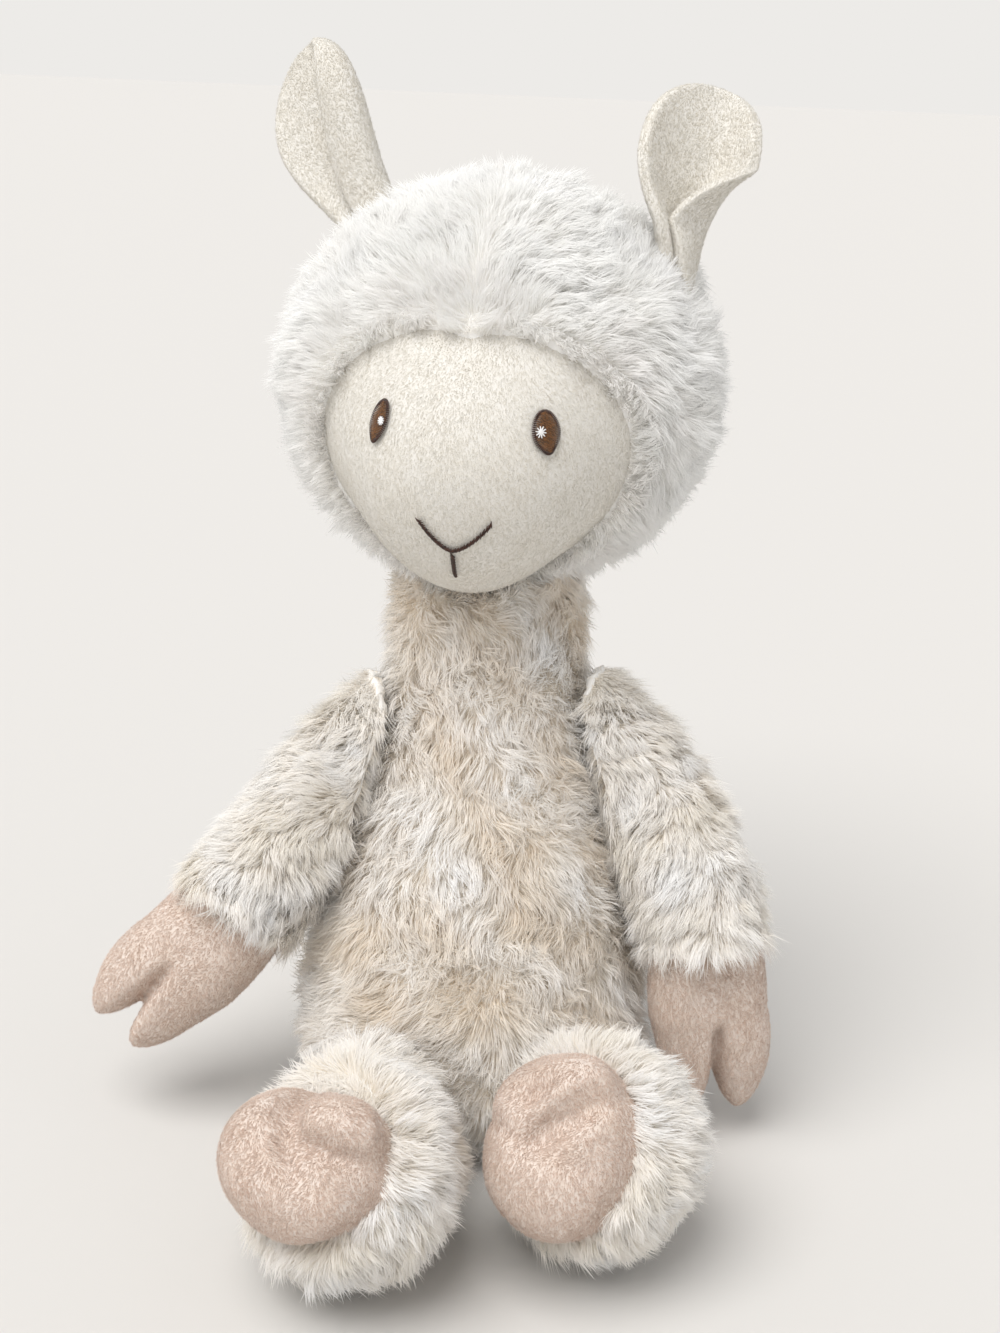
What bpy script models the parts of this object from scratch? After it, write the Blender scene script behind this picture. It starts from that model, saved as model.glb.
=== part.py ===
"""A plush llama that sits with its legs stretched forward, sewn from long fur cloth and short velour.

Metres, +Z up. The toy looks along -Y, so its own left side is +X. The origin is the middle of the flat
seat. Every cloth piece is a shell that is open where it is sewn on, and its filling is a solid inside it.
"""

import math

import bmesh
import bpy
import numpy as np
from mathutils import Matrix, Vector

MM = 0.001

# Cloth and seams
FUR = 6.5 * MM  # backing and combed pile of the long fur
VELOUR = 2.0 * MM  # backing and nap of the short velour
SEAM = 0.3 * MM  # clearance between two pieces that are sewn together
FLOOR_FUR = 4.0 * MM  # fur that is pressed flat under the toy

# Body, seat to neck. Its spine leans back from the middle of the seat
LEAN = math.radians(13)
SEAT_WIDTH, SEAT_DEPTH = 76 * MM, 68 * MM
RUMP_HEIGHT, RUMP_WIDTH, RUMP_DEPTH = 9 * MM, 97 * MM, 88 * MM
BELLY_HEIGHT, BELLY_WIDTH, BELLY_DEPTH = 36 * MM, 105 * MM, 97 * MM
WAIST_HEIGHT, WAIST_WIDTH, WAIST_DEPTH = 88 * MM, 83 * MM, 79 * MM
CHEST_HEIGHT, CHEST_WIDTH, CHEST_DEPTH = 124 * MM, 66 * MM, 63 * MM
NECK_HEIGHT, NECK_WIDTH, NECK_DEPTH = 168 * MM, 58 * MM, 54 * MM
NECK_HOLE = 34 * MM  # opening through which the neck's filling meets the head's
SEAT_EDGE = 0.35  # share of the rump's height where the seat starts to round over
INNER_SEAT_EDGE = 0.5
PELLET_BAG_HEIGHT = 24 * MM

# Head. The form is the stuffed shape under the cloth
HEAD_WIDTH, HEAD_DEPTH, HEAD_HEIGHT = 132 * MM, 114 * MM, 122 * MM
HEAD_CENTRE_X, HEAD_CENTRE_Z = 0.5 * MM, 211 * MM
HEAD_TURN = math.radians(-9.5)
FACE_PITCH = math.radians(-14)
FACE_SIDE, FACE_TOP, FACE_BOTTOM = math.radians(51), math.radians(40), math.radians(47)
FRINGE_DIP, FRINGE_WIDTH = math.radians(3), math.radians(11)
MUZZLE_REACH = 21 * MM
MUZZLE_PITCH = math.radians(-25)
MUZZLE_SIDE, MUZZLE_UP, MUZZLE_DOWN = math.radians(35), math.radians(37), math.radians(36)
MUZZLE_BLUNTNESS = 1.35
# Shares of the way from the middle of the face to its edge, and from there to the back of the head
FACE_STEPS, INNER_FACE_STEPS = (0.16, 0.32, 0.48, 0.64, 0.8, 0.92, 1), (0.32, 0.64, 1)
HOOD_STEPS, INNER_HOOD_STEPS = (0, 0.08, 0.19, 0.32, 0.46, 0.6, 0.74, 0.88), (0, 0.2, 0.42, 0.66, 0.87)
RIM_CLEARANCE = 1.2  # of a seam, so that the slanted rims of face and hood stay a full seam apart
NECK_CUT_BELOW, NECK_CUT_ABOVE = 0.75, 0.2  # shares of the head's height under its centre

# Embroidery. Places are angles seen from the head's centre
EYE_SIDE, EYE_PITCH = math.radians(21), math.radians(-2.5)
EYE_WIDTH, EYE_HEIGHT, EYE_THICKNESS = 9.6 * MM, 12.2 * MM, 0.9 * MM
EYE_SLANT = math.radians(9)
GLINT_SIZE, GLINT_THICKNESS = 2.8 * MM, 0.6 * MM
MOUTH_PITCH = math.radians(-27)
MOUTH_WIDTH, MOUTH_RISE, LIP_LENGTH = 21 * MM, 9.5 * MM, 9 * MM
THREAD_WIDTH, THREAD_THICKNESS = 1.3 * MM, 0.9 * MM
THREAD_END = 0.45  # share of the thread's width at its two ends
MOUTH_CURVE = 1.7  # 1 is a straight V, 2 is a round smile
EYE_POINT = 0.35  # how much narrower the eye gets at its lower end
GLINT_SHIFT = 0.2  # share of the eye's width from its middle towards the nose
# Shares of a stitched patch's outline and of its thickness, from its middle to its edge
PATCH_DOME = ((0.55, 1), (0.88, 0.8), (1, 0.35), (1, 0))

# Ears, leaves of two velour layers that are cupped to the front, with one long edge folded over forwards
EAR_LENGTH, EAR_WIDTH, EAR_BASE_WIDTH, EAR_THICKNESS = 62.5 * MM, 44 * MM, 26 * MM, 5 * MM
EAR_WIDEST = 0.6  # share of the ear's length
EAR_STEPS = (0, 0.18, 0.36, 0.52, 0.66, 0.78, 0.88, 0.95, 0.995)  # shares of the ear's length
EAR_COLUMNS, EAR_COLUMNS_AT_FOLD = 11, 3  # points across the ear, and how much denser they are at the fold
EAR_TIP_THINNING, EAR_RIM_THINNING = 0.75, 0.7
EAR_SINK = 11 * MM
# Each pair below is for the ear's base and its tip
EAR_CURLS = {"right": (math.radians(61), math.radians(17)), "left": (math.radians(55), math.radians(41))}
EAR_FOLDS = {"right": (math.radians(115), math.radians(110)), "left": (math.radians(115), math.radians(35))}
FOLD_PLACES = {"right": (0.17, 0.73), "left": (0.02, 0.39)}  # shares of the half width
FOLD_REACH = 3.75 * MM  # the fold is about twice this wide
FOLD_OPENS = {"right": 0.6, "left": 0.32}  # share of the length from which the fold opens
FOLD_OPENS_OVER = 0.3
EAR_CUPS = {"right": 1.2 * MM, "left": 2.6 * MM}
EAR_SIDES = {"right": math.radians(38), "left": math.radians(61.6)}  # from the top of the head to its side
EAR_LEANS = {"right": math.radians(-17), "left": math.radians(-17)}  # forwards
EAR_TILTS = {"right": math.radians(32), "left": math.radians(7.4)}  # outwards
EAR_TWISTS = {"right": math.radians(19), "left": math.radians(-19)}

# Arms. The elbow and wrist are measured from the shoulder, for the toy's right and left arm
SHOULDER_HEIGHT, SHOULDER_INSET = 126 * MM, 22 * MM
ELBOWS = {"right": (-34 * MM, -16 * MM, -26 * MM), "left": (46 * MM, -16 * MM, -18 * MM)}
WRISTS = {"right": (-61 * MM, -37 * MM, -66 * MM), "left": (57 * MM, -36 * MM, -71 * MM)}
ARM_WIDTH, CUFF_WIDTH = 38 * MM, 41 * MM
HAND_WIDTH, HAND_DEPTH, HAND_LENGTH = 37 * MM, 28 * MM, 35 * MM
HAND_CLEFT = 0.5
HAND_TOE, HOOF_TOE = 0.16, 0.05  # how much longer one lobe is than the other
MITT_SQUARENESS = 2.3  # 2 is round
CLEFT_HALF_WIDTH = 0.24  # of the mitt's directions, where 1 is square to the cleft
CLEFT_START, CLEFT_SPAN = 0.15, 0.6  # from the back of the mitt to its tip
CLEFT_CROWDING = 0.28  # how much closer together the points are in the cleft
HAND_REACH = 14 * MM  # from the cuff to the middle of the palm
HAND_BACK, HOOF_BACK = math.radians(128), math.radians(110)  # how far round the velour reaches
HAND_WAYS = {"right": (-0.69, -0.14, -0.71), "left": (0.09, -0.12, -0.98)}
HAND_LOBES = {"right": (-0.55, 0.35, 0.60), "left": (0.97, 0.20, 0.05)}

# Legs. Hips are inside the body, and the feet stand on the floor
HIP_SPREAD, HIP_REACH, HIP_HEIGHT = 46 * MM, -10 * MM, 20 * MM
THIGH_WIDTH, FOOT_WIDTH = 39 * MM, 62 * MM
FOOT_HEIGHT = 30.4 * MM  # of the foot's middle, so that the foot's fur is pressed flat where it stands
FOOT_X = {"right": -27 * MM, "left": 37.7 * MM}
FOOT_REACH = {"right": -92 * MM, "left": -75 * MM}
HOOF_WAYS = {"right": (-0.60, -0.52, 0.61), "left": (-0.69, -0.56, 0.46)}
HOOF_LOBES = {"right": (-0.80, 0.50, -0.20), "left": (0.25, 0.27, 0.84)}
HOOF_WIDTH, HOOF_LENGTH = 47 * MM, 20 * MM
HOOF_DEPTHS = {"right": 37 * MM, "left": 43 * MM}  # one hoof is pressed flatter than the other
HOOF_CLEFT = 0.30
HOOF_OPENING = 17 * MM  # from the foot's middle to the end of the fur

# Filling
WAD_EASE = 1.1 * MM  # between a mitt's velour and the fibre in it
PLUG_REACH, PLUG_WIDTH = 4 * MM, 16 * MM  # fibre that joins a limb's filling to its mitt's

ROUND = 24  # points round the head and the body
LIMB_ROUND = 20
FINE_ROUND = 18  # points round a hand or hoof, closer together in the cleft

SIDES = {"left": 1, "right": -1}


# Materials

def material(name, colour, roughness):
    made = bpy.data.materials.new(name)
    made.use_nodes = True
    shader = made.node_tree.nodes["Principled BSDF"]
    shader.inputs["Base Color"].default_value = (*colour, 1)
    shader.inputs["Roughness"].default_value = roughness
    shader.inputs["Metallic"].default_value = 0
    return made


# Meshes made of rings

def ring_mesh(rings, loop=False, leaf=False):
    """Points and faces of a skin over rings of equal size. A ring of one point closes an end.

    A loop joins the last ring to the first. A leaf's ring runs over its front and back over its back, and
    its two ends are closed from front to back.
    """
    points = [p for ring in rings for p in ring]
    starts = np.cumsum([0] + [len(ring) for ring in rings])
    count = max(len(ring) for ring in rings)
    pairs = list(zip(range(len(rings) - 1), range(1, len(rings))))
    if loop:
        pairs.append((len(rings) - 1, 0))
    faces = []
    for first, second in pairs:
        a, b = starts[first], starts[second]
        for i in range(count):
            j = (i + 1) % count
            if len(rings[first]) == 1:
                faces.append((a, b + j, b + i))
            elif len(rings[second]) == 1:
                faces.append((a + i, a + j, b))
            else:
                faces.append((a + i, a + j, b + j, b + i))
    if leaf:
        for start in (0, starts[-2]):
            for i in range(count // 2 - 1):
                faces.append((start + i, start + i + 1, start + count - 2 - i, start + count - 1 - i))
    return points, faces


def solid(name, rings, finish, parent=None, loop=False, leaf=False):
    """A closed object over the rings, with its faces turned outwards."""
    points, faces = ring_mesh(rings, loop, leaf)
    mesh = bpy.data.meshes.new(name)
    mesh.from_pydata([tuple(p) for p in points], [], [tuple(int(i) for i in f) for f in faces])
    turned = bmesh.new()
    turned.from_mesh(mesh)
    bmesh.ops.triangulate(turned, faces=turned.faces[:])
    bmesh.ops.recalc_face_normals(turned, faces=turned.faces[:])
    if turned.calc_volume(signed=True) < 0:
        bmesh.ops.reverse_faces(turned, faces=turned.faces[:])
    turned.to_mesh(mesh)
    turned.free()
    mesh.shade_smooth()
    made = bpy.data.objects.new(name, mesh)
    bpy.context.scene.collection.objects.link(made)
    made.parent = parent
    if finish:
        mesh.materials.append(finish)
    return made


def cutter(name, rings, parent=None):
    made = solid(name, rings, None, parent)
    made.hide_render = True
    made.display_type = "WIRE"
    return made


def cut(piece, tool):
    modifier = piece.modifiers.new("cut by " + tool.name, "BOOLEAN")
    modifier.operation = "DIFFERENCE"
    modifier.object = tool


def join(piece, other):
    modifier = piece.modifiers.new("joined to " + other.name, "BOOLEAN")
    modifier.operation = "UNION"
    modifier.object = other


def smooth_through(knots, values, at):
    """Values at the places given, on a curve through the knots that doesn't overshoot them much."""
    knots, values = np.asarray(knots, float), np.asarray(values, float)
    slopes = np.gradient(values, knots, axis=0)
    i = int(np.clip(np.searchsorted(knots, at) - 1, 0, len(knots) - 2))
    span = knots[i + 1] - knots[i]
    t = (at - knots[i]) / span
    start = (1 + 2 * t) * (1 - t) ** 2 * values[i] + t * (1 - t) ** 2 * span * slopes[i]
    end = t * t * (3 - 2 * t) * values[i + 1] + t * t * (t - 1) * span * slopes[i + 1]
    return start + end


def unit(vector):
    vector = np.asarray(vector, float)
    return vector / np.linalg.norm(vector)


# Body

def spine(height):
    return np.array([0.0, height * math.tan(LEAN), height])


BODY_HEIGHTS = (0, RUMP_HEIGHT, BELLY_HEIGHT, WAIST_HEIGHT, CHEST_HEIGHT, NECK_HEIGHT)
BODY_WIDTHS = (SEAT_WIDTH, RUMP_WIDTH, BELLY_WIDTH, WAIST_WIDTH, CHEST_WIDTH, NECK_WIDTH)
BODY_DEPTHS = (SEAT_DEPTH, RUMP_DEPTH, BELLY_DEPTH, WAIST_DEPTH, CHEST_DEPTH, NECK_DEPTH)


def body_radii(height):
    """Half width and half depth of the body's fur at a height."""
    return np.array([smooth_through(BODY_HEIGHTS, sizes, height) / 2 for sizes in (BODY_WIDTHS, BODY_DEPTHS)])


def body_ring(height, inset, at=None):
    half_width, half_depth = body_radii(height) - inset
    centre = spine(height if at is None else at)
    turns = np.linspace(0, 2 * math.pi, ROUND, endpoint=False)
    return [centre + (half_width * math.cos(a), half_depth * math.sin(a), 0) for a in turns]


OUTER_RINGS = [
    0,
    SEAT_EDGE * RUMP_HEIGHT,
    *np.linspace(RUMP_HEIGHT, PELLET_BAG_HEIGHT, 3),
    *np.linspace(PELLET_BAG_HEIGHT, CHEST_HEIGHT, 6)[1:],
    *np.linspace(CHEST_HEIGHT, NECK_HEIGHT, 3)[1:],
]
BAG_RINGS = [RUMP_HEIGHT, PELLET_BAG_HEIGHT]
TORSO_RINGS = list(np.linspace(PELLET_BAG_HEIGHT, CHEST_HEIGHT, 4)[1:])


def round_ring(height, radius):
    turns = np.linspace(0, 2 * math.pi, ROUND, endpoint=False)
    return [spine(height) + (radius * math.cos(a), radius * math.sin(a), 0) for a in turns]


def make_body(finishes):
    outer = [body_ring(h, 0) for h in OUTER_RINGS]
    inside_seat = INNER_SEAT_EDGE * RUMP_HEIGHT
    inner = [body_ring(inside_seat, FUR, FLOOR_FUR)]
    inner += [body_ring(h, FUR) for h in (*BAG_RINGS, *TORSO_RINGS, NECK_HEIGHT)]
    seat, inner_seat = [spine(0)], [spine(FLOOR_FUR)]
    fur = solid("body_fur", [seat, *outer, *inner[::-1], inner_seat], finishes["fur"])

    clear = FUR + SEAM
    bag_floor, bag_top = FLOOR_FUR + SEAM, PELLET_BAG_HEIGHT
    bag = [body_ring(inside_seat, clear, bag_floor)] + [body_ring(h, clear) for h in BAG_RINGS]
    solid("seat_pellet_bag", [[spine(bag_floor)], *bag, [spine(bag_top)]], finishes["bag"])

    base = bag_top + SEAM
    torso = [body_ring(bag_top, clear, base)] + [body_ring(h, clear) for h in TORSO_RINGS]
    throat = HEAD_CENTRE_Z - HEAD_HEIGHT / 2
    neck = [round_ring(height, NECK_HOLE / 2 - SEAM) for height in (throat, NECK_HEIGHT)]
    core = solid(
        "body_filling", [[spine(base)], *torso, *neck, [spine(NECK_HEIGHT)]], finishes["filling"]
    )
    around = [body_ring(h, -SEAM) for h in OUTER_RINGS]
    below = [p - (0, 0, SEAM) for p in around[0]]
    envelope = cutter("body_envelope", [[spine(-SEAM)], below, *around, [spine(NECK_HEIGHT)]])
    return fur, core, envelope


# Head. Directions are in the head's own frame, where the face looks along -Y

HEAD_AXES = np.array([HEAD_WIDTH, HEAD_DEPTH, HEAD_HEIGHT]) / 2


def direction(side, pitch):
    return np.array(
        [math.sin(side) * math.cos(pitch), -math.cos(side) * math.cos(pitch), math.sin(pitch)]
    )


def head_form(way):
    """Distance from the head's centre to the stuffed form under the cloth, along a direction."""
    way = unit(way)
    egg = 1 / np.linalg.norm(way / (HEAD_AXES - FUR))
    side, pitch = math.atan2(way[0], -way[1]), math.asin(way[2])
    over = pitch - MUZZLE_PITCH
    spread = MUZZLE_UP if over > 0 else MUZZLE_DOWN
    off_middle = (side / MUZZLE_SIDE) ** 2 + (over / spread) ** 2
    return egg + MUZZLE_REACH * math.exp(-(off_middle**MUZZLE_BLUNTNESS))


def from_face_axis(angle, turn):
    """Direction at an angle from the middle of the face. A turn of 0 is the toy's left, and a quarter is up."""
    x, y, z = math.sin(angle) * math.cos(turn), -math.cos(angle), math.sin(angle) * math.sin(turn)
    c, s = math.cos(FACE_PITCH), math.sin(FACE_PITCH)
    return np.array([x, y * c + z * s, z * c - y * s])


def face_edge(turn):
    """Angle from the middle of the face to the fur's edge, with the small dip of the fringe at the top."""
    upright = FACE_TOP if math.sin(turn) > 0 else FACE_BOTTOM
    oval = 1 / math.hypot(math.cos(turn) / FACE_SIDE, math.sin(turn) / upright)
    from_top = math.remainder(turn - math.pi / 2, 2 * math.pi)
    return oval - FRINGE_DIP * math.exp(-((from_top / FRINGE_WIDTH) ** 2))


def head_ring(angle_of, cloth):
    turns = np.linspace(0, 2 * math.pi, ROUND, endpoint=False)
    ways = [from_face_axis(angle_of(turn), turn) for turn in turns]
    return [way * (head_form(way) + cloth) for way in ways]


def head_pole(angle, cloth):
    way = from_face_axis(angle, 0)
    return [way * (head_form(way) + cloth)]


def face_rings(cloth, steps):
    return [head_pole(0, cloth)] + [
        head_ring(lambda turn, s=s: s * face_edge(turn), cloth) for s in steps
    ]


def hood_rings(cloth, steps, gap):
    def angle_at(share):
        return lambda turn: face_edge(turn) + gap + share * (math.pi - face_edge(turn) - gap)

    return [head_ring(angle_at(s), cloth) for s in steps] + [head_pole(math.pi, cloth)]


def make_head(finishes):
    head = bpy.data.objects.new("head", None)
    head.location = Vector((HEAD_CENTRE_X, 0, 0)) + Vector(spine(HEAD_CENTRE_Z))
    head.rotation_euler = (0, 0, HEAD_TURN)
    bpy.context.scene.collection.objects.link(head)

    gap = SEAM / (HEAD_AXES[1] - FUR) * RIM_CLEARANCE
    outside, inside = face_rings(VELOUR, FACE_STEPS), face_rings(0, INNER_FACE_STEPS)
    solid("face_panel", outside + inside[::-1], finishes["velour"], head)
    outside, inside = hood_rings(FUR, HOOD_STEPS, gap), hood_rings(0, INNER_HOOD_STEPS, gap)
    hood = solid("head_fur", outside[::-1] + inside, finishes["fur"], head)

    def whole_head(cloth, face_steps, hood_steps):
        return face_rings(cloth, face_steps) + hood_rings(cloth, hood_steps[1:], 0)

    filling = whole_head(-SEAM, INNER_FACE_STEPS, INNER_HOOD_STEPS)
    solid("head_filling", filling, finishes["filling"], head)
    lining = whole_head(0, INNER_FACE_STEPS, INNER_HOOD_STEPS)
    inner_envelope = cutter("head_inner_envelope", lining, head)
    envelope = cutter("head_envelope", whole_head(FUR + SEAM, FACE_STEPS, HOOD_STEPS), head)

    below = HEAD_CENTRE_Z - NECK_CUT_BELOW * HEAD_HEIGHT
    above = HEAD_CENTRE_Z - NECK_CUT_ABOVE * HEAD_HEIGHT
    tube = [round_ring(height, NECK_HOLE / 2) for height in (below, above)]
    hole = cutter("neck_hole", [[spine(below)], *tube, [spine(above)]])
    cut(hood, hole)
    return head, envelope, inner_envelope


# Embroidery on the face

def face_point(side, pitch, lift):
    """Point over the face's velour, and the way out of the cloth there."""
    step = 1e-3

    def at(s, p):
        way = direction(s, p)
        return way * (head_form(way) + VELOUR)

    here = at(side, pitch)
    out = unit(np.cross(at(side + step, pitch) - here, at(side, pitch + step) - here))
    return here + out * lift, out


def on_face(side, pitch, across, up, lift):
    """Point at a distance across and up from a place on the face, measured on the cloth."""
    reach = np.linalg.norm(face_point(side, pitch, 0)[0])
    step = 1e-2
    here = face_point(side, pitch, 0)[0]
    stretch_side = np.linalg.norm(face_point(side + step, pitch, 0)[0] - here) / (step * reach)
    stretch_up = np.linalg.norm(face_point(side, pitch + step, 0)[0] - here) / (step * reach)
    return face_point(side + across / (reach * stretch_side), pitch + up / (reach * stretch_up), lift)[0]


def patch(name, side, pitch, outline, thickness, base, finish, head):
    """A slightly domed patch of satin stitch over an outline of (across, up) points."""

    def ring(share, lift):
        return [on_face(side, pitch, a * share, u * share, lift) for a, u in outline]

    dome = [ring(share, base + rise * thickness) for share, rise in PATCH_DOME]
    return solid(name, [ring(0, base + thickness)[:1], *dome, ring(0, base)[:1]], finish, head)


def almond(width, height, slant, count):
    """Outline of an eye: round above, drawn to a point below, leaning by the slant."""
    points = []
    for turn in np.linspace(0, 2 * math.pi, count, endpoint=False):
        across, up = width / 2 * math.cos(turn), height / 2 * math.sin(turn)
        if up < 0:
            across *= 1 - EYE_POINT * (2 * up / height) ** 2
        c, s = math.cos(slant), math.sin(slant)
        points.append((across * c - up * s, across * s + up * c))
    return points


def thread(name, path, finish, head):
    """A line of stitches along (side, pitch) places on the face."""
    rings = []
    middle = SEAM + THREAD_THICKNESS / 2
    for i, (side, pitch) in enumerate(path):
        before, after = path[max(i - 1, 0)], path[min(i + 1, len(path) - 1)]
        along = unit(face_point(*after, 0)[0] - face_point(*before, 0)[0])
        centre, out = face_point(side, pitch, middle)
        across = np.cross(along, out)
        end = THREAD_END if i in (0, len(path) - 1) else 1
        rings.append(
            [
                centre
                + across * end * THREAD_WIDTH / 2 * math.cos(a)
                + out * end * THREAD_THICKNESS / 2 * math.sin(a)
                for a in np.linspace(0, 2 * math.pi, 6, endpoint=False)
            ]
        )
    first, last = face_point(*path[0], middle)[0], face_point(*path[-1], middle)[0]
    return solid(name, [[first], *rings, [last]], finish, head)


def make_embroidery(head, finishes):
    for name, hand in SIDES.items():
        oval = almond(EYE_WIDTH, EYE_HEIGHT, hand * EYE_SLANT, 16)
        patch(
            "eye_" + name, hand * EYE_SIDE, EYE_PITCH, oval, EYE_THICKNESS, SEAM, finishes["brown"], head
        )
        glint = almond(GLINT_SIZE, GLINT_SIZE, 0, 8)
        inward = hand * (EYE_SIDE - GLINT_SHIFT * EYE_WIDTH / (HEAD_DEPTH / 2))
        patch(
            "eye_glint_" + name,
            inward,
            EYE_PITCH,
            glint,
            GLINT_THICKNESS,
            2 * SEAM + EYE_THICKNESS,
            finishes["white"],
            head,
        )
    reach = np.linalg.norm(face_point(0, MOUTH_PITCH, 0)[0])
    half = MOUTH_WIDTH / 2
    smile = [
        (half * s / reach, MOUTH_PITCH + MOUTH_RISE * abs(s) ** MOUTH_CURVE / reach)
        for s in np.linspace(-1, 1, 13)
    ]
    thread("mouth_stitching", smile, finishes["dark"], head)
    start = MOUTH_PITCH - (THREAD_WIDTH + SEAM) / reach
    lip = [(0.0, start - LIP_LENGTH * s / reach) for s in np.linspace(0, 1, 5)]
    thread("lip_stitching", lip, finishes["dark"], head)


# Ears

def ear_half_width(share):
    """Half width of the ear's cloth before it is cupped: a narrow base that widens to a round end."""
    widening = min(share / EAR_WIDEST, 1)
    widening = widening * widening * (3 - 2 * widening)
    rounding = max((share - EAR_WIDEST) / (1 - EAR_WIDEST), 0)
    flat = EAR_BASE_WIDTH + (EAR_WIDTH - EAR_BASE_WIDTH) * widening
    return flat / 2 * math.sqrt(max(1 - rounding**2, 0))


def ear_ring(name, share):
    """Points round the ear at a share of its length: along its front from edge to edge, then back."""
    half = max(ear_half_width(share), SEAM)
    at = half * np.interp(share, (0, 1), FOLD_PLACES[name])
    opened = np.clip((share - FOLD_OPENS[name]) / FOLD_OPENS_OVER, 0, 1)
    across = np.linspace(-half, half, 201)
    folded = np.interp(opened, (0, 1), EAR_FOLDS[name]) / 2 * np.tanh((across - at) / FOLD_REACH)
    heading = np.interp(share, (0, 1), EAR_CURLS[name]) * across / (EAR_WIDTH / 2) + folded
    heading -= np.interp(0, across, folded)
    step = across[1] - across[0]
    x, y = np.cumsum(np.cos(heading)) * step, -np.cumsum(np.sin(heading)) * step
    x, y = x - np.interp(0, across, x), y - np.interp(0, across, y) - EAR_CUPS[name] * math.sin(math.pi * share)
    density = np.cumsum(1 + EAR_COLUMNS_AT_FOLD * np.exp(-(((across - at) / (1.5 * FOLD_REACH)) ** 2)))
    columns = np.interp(np.linspace(density[0], density[-1], EAR_COLUMNS), density, across)
    x, y, heading = (np.interp(columns, across, values) for values in (x, y, heading))
    lift = EAR_THICKNESS / 2 * math.sqrt(1 - EAR_TIP_THINNING * share**8)
    lift = lift * np.sqrt(1 - EAR_RIM_THINNING * (columns / half) ** 2)
    height = np.full(EAR_COLUMNS, share * EAR_LENGTH)
    front = np.stack([x - lift * np.sin(heading), y - lift * np.cos(heading), height], 1)
    back = np.stack([x + lift * np.sin(heading), y + lift * np.cos(heading), height], 1)
    return [*front, *back[::-1]]


def make_ear(name, hand, envelope, finish, head):
    seat = bpy.data.objects.new("ear_seat_" + name, None)
    bpy.context.scene.collection.objects.link(seat)
    seat.parent = head
    way = np.array([hand * math.sin(EAR_SIDES[name]), 0, math.cos(EAR_SIDES[name])])
    seat.location = way * (head_form(way) + FUR - EAR_SINK)
    turned = Matrix.Rotation(hand * EAR_TILTS[name], 3, "Y") @ Matrix.Rotation(EAR_LEANS[name], 3, "X")
    seat.rotation_euler = (turned @ Matrix.Rotation(-EAR_TWISTS[name], 3, "Z")).to_euler()
    rings = [ear_ring(name, share) for share in EAR_STEPS]
    ear = solid("ear_" + name, rings, finish, seat, leaf=True)
    cut(ear, envelope)


# Limbs. Rings stand square to a curved middle line

def square_ring(centre, along, radius, count, inset=0.0, floor=None):
    side = unit(np.cross(along, (0, 0, 1)))
    up = np.cross(side, along)
    turns = np.linspace(0, 2 * math.pi, count, endpoint=False)
    points = [centre + (radius - inset) * (side * math.cos(a) + up * math.sin(a)) for a in turns]
    if floor is not None:
        for p in points:
            p[2] = max(p[2], floor)
    return points


def bend_line(start, middle, end, share):
    start, middle, end = (np.asarray(p, float) for p in (start, middle, end))
    return (1 - share) ** 2 * start + 2 * share * (1 - share) * middle + share**2 * end


def bend_way(start, middle, end, share):
    start, middle, end = (np.asarray(p, float) for p in (start, middle, end))
    return unit(2 * (1 - share) * (middle - start) + 2 * share * (end - middle))


def cloven(length, width, depth, cleft, toe):
    """Distance from the middle of a hand or hoof to its form, along (lobe, flat, tip) parts of a direction."""

    def form(way):
        x, y, z = way
        power = MITT_SQUARENESS
        egg = (abs(2 * x / width) ** power + abs(2 * y / depth) ** power + abs(z / length) ** power)
        front = min(max((z - CLEFT_START) / CLEFT_SPAN, 0), 1)
        notch = cleft * math.exp(-((x / CLEFT_HALF_WIDTH) ** 2)) * front * front * (3 - 2 * front)
        return egg ** (-1 / power) * (1 - notch) * (1 + toe * x * front)

    return form


def mitt_rings(centre, tip, lobe, form, cloth, back):
    """Rings of a hand or hoof from its tip to the angle where it is sewn on."""
    tip = unit(tip)
    lobe = unit(np.asarray(lobe) - np.dot(lobe, tip) * tip)
    flat = np.cross(tip, lobe)
    even = np.linspace(0, 2 * math.pi, FINE_ROUND, endpoint=False)
    turns = even + CLEFT_CROWDING * np.sin(2 * even)

    def point(angle, turn):
        x, y, z = math.sin(angle) * math.cos(turn), math.sin(angle) * math.sin(turn), math.cos(angle)
        return centre + (lobe * x + flat * y + tip * z) * (form((x, y, z)) + cloth)

    angles = back * np.array([0.1, 0.21, 0.33, 0.47, 0.63, 0.8, 1])
    return [[point(0, 0)]] + [[point(angle, turn) for turn in turns] for angle in angles]


def make_mitt(name, centre, tip, lobe, form, back, limb, finishes):
    """A velour hand or hoof, open where the limb's fur is sewn on, and the wad of fibre in it."""
    outside = mitt_rings(centre, tip, lobe, form, 0, back)
    inside = mitt_rings(centre, tip, lobe, form, -VELOUR, back)
    mitt = solid(name, outside + inside[::-1], finishes["peach"])
    wad_rings = mitt_rings(centre, tip, lobe, form, -VELOUR - WAD_EASE, back)
    wad_rings = [*wad_rings[:3], *wad_rings[3::2]]
    wad = cutter(name + "_wad", [*wad_rings, [np.mean(wad_rings[-1], axis=0)]])
    cut(mitt, limb)
    cut(wad, limb)
    return wad


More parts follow.
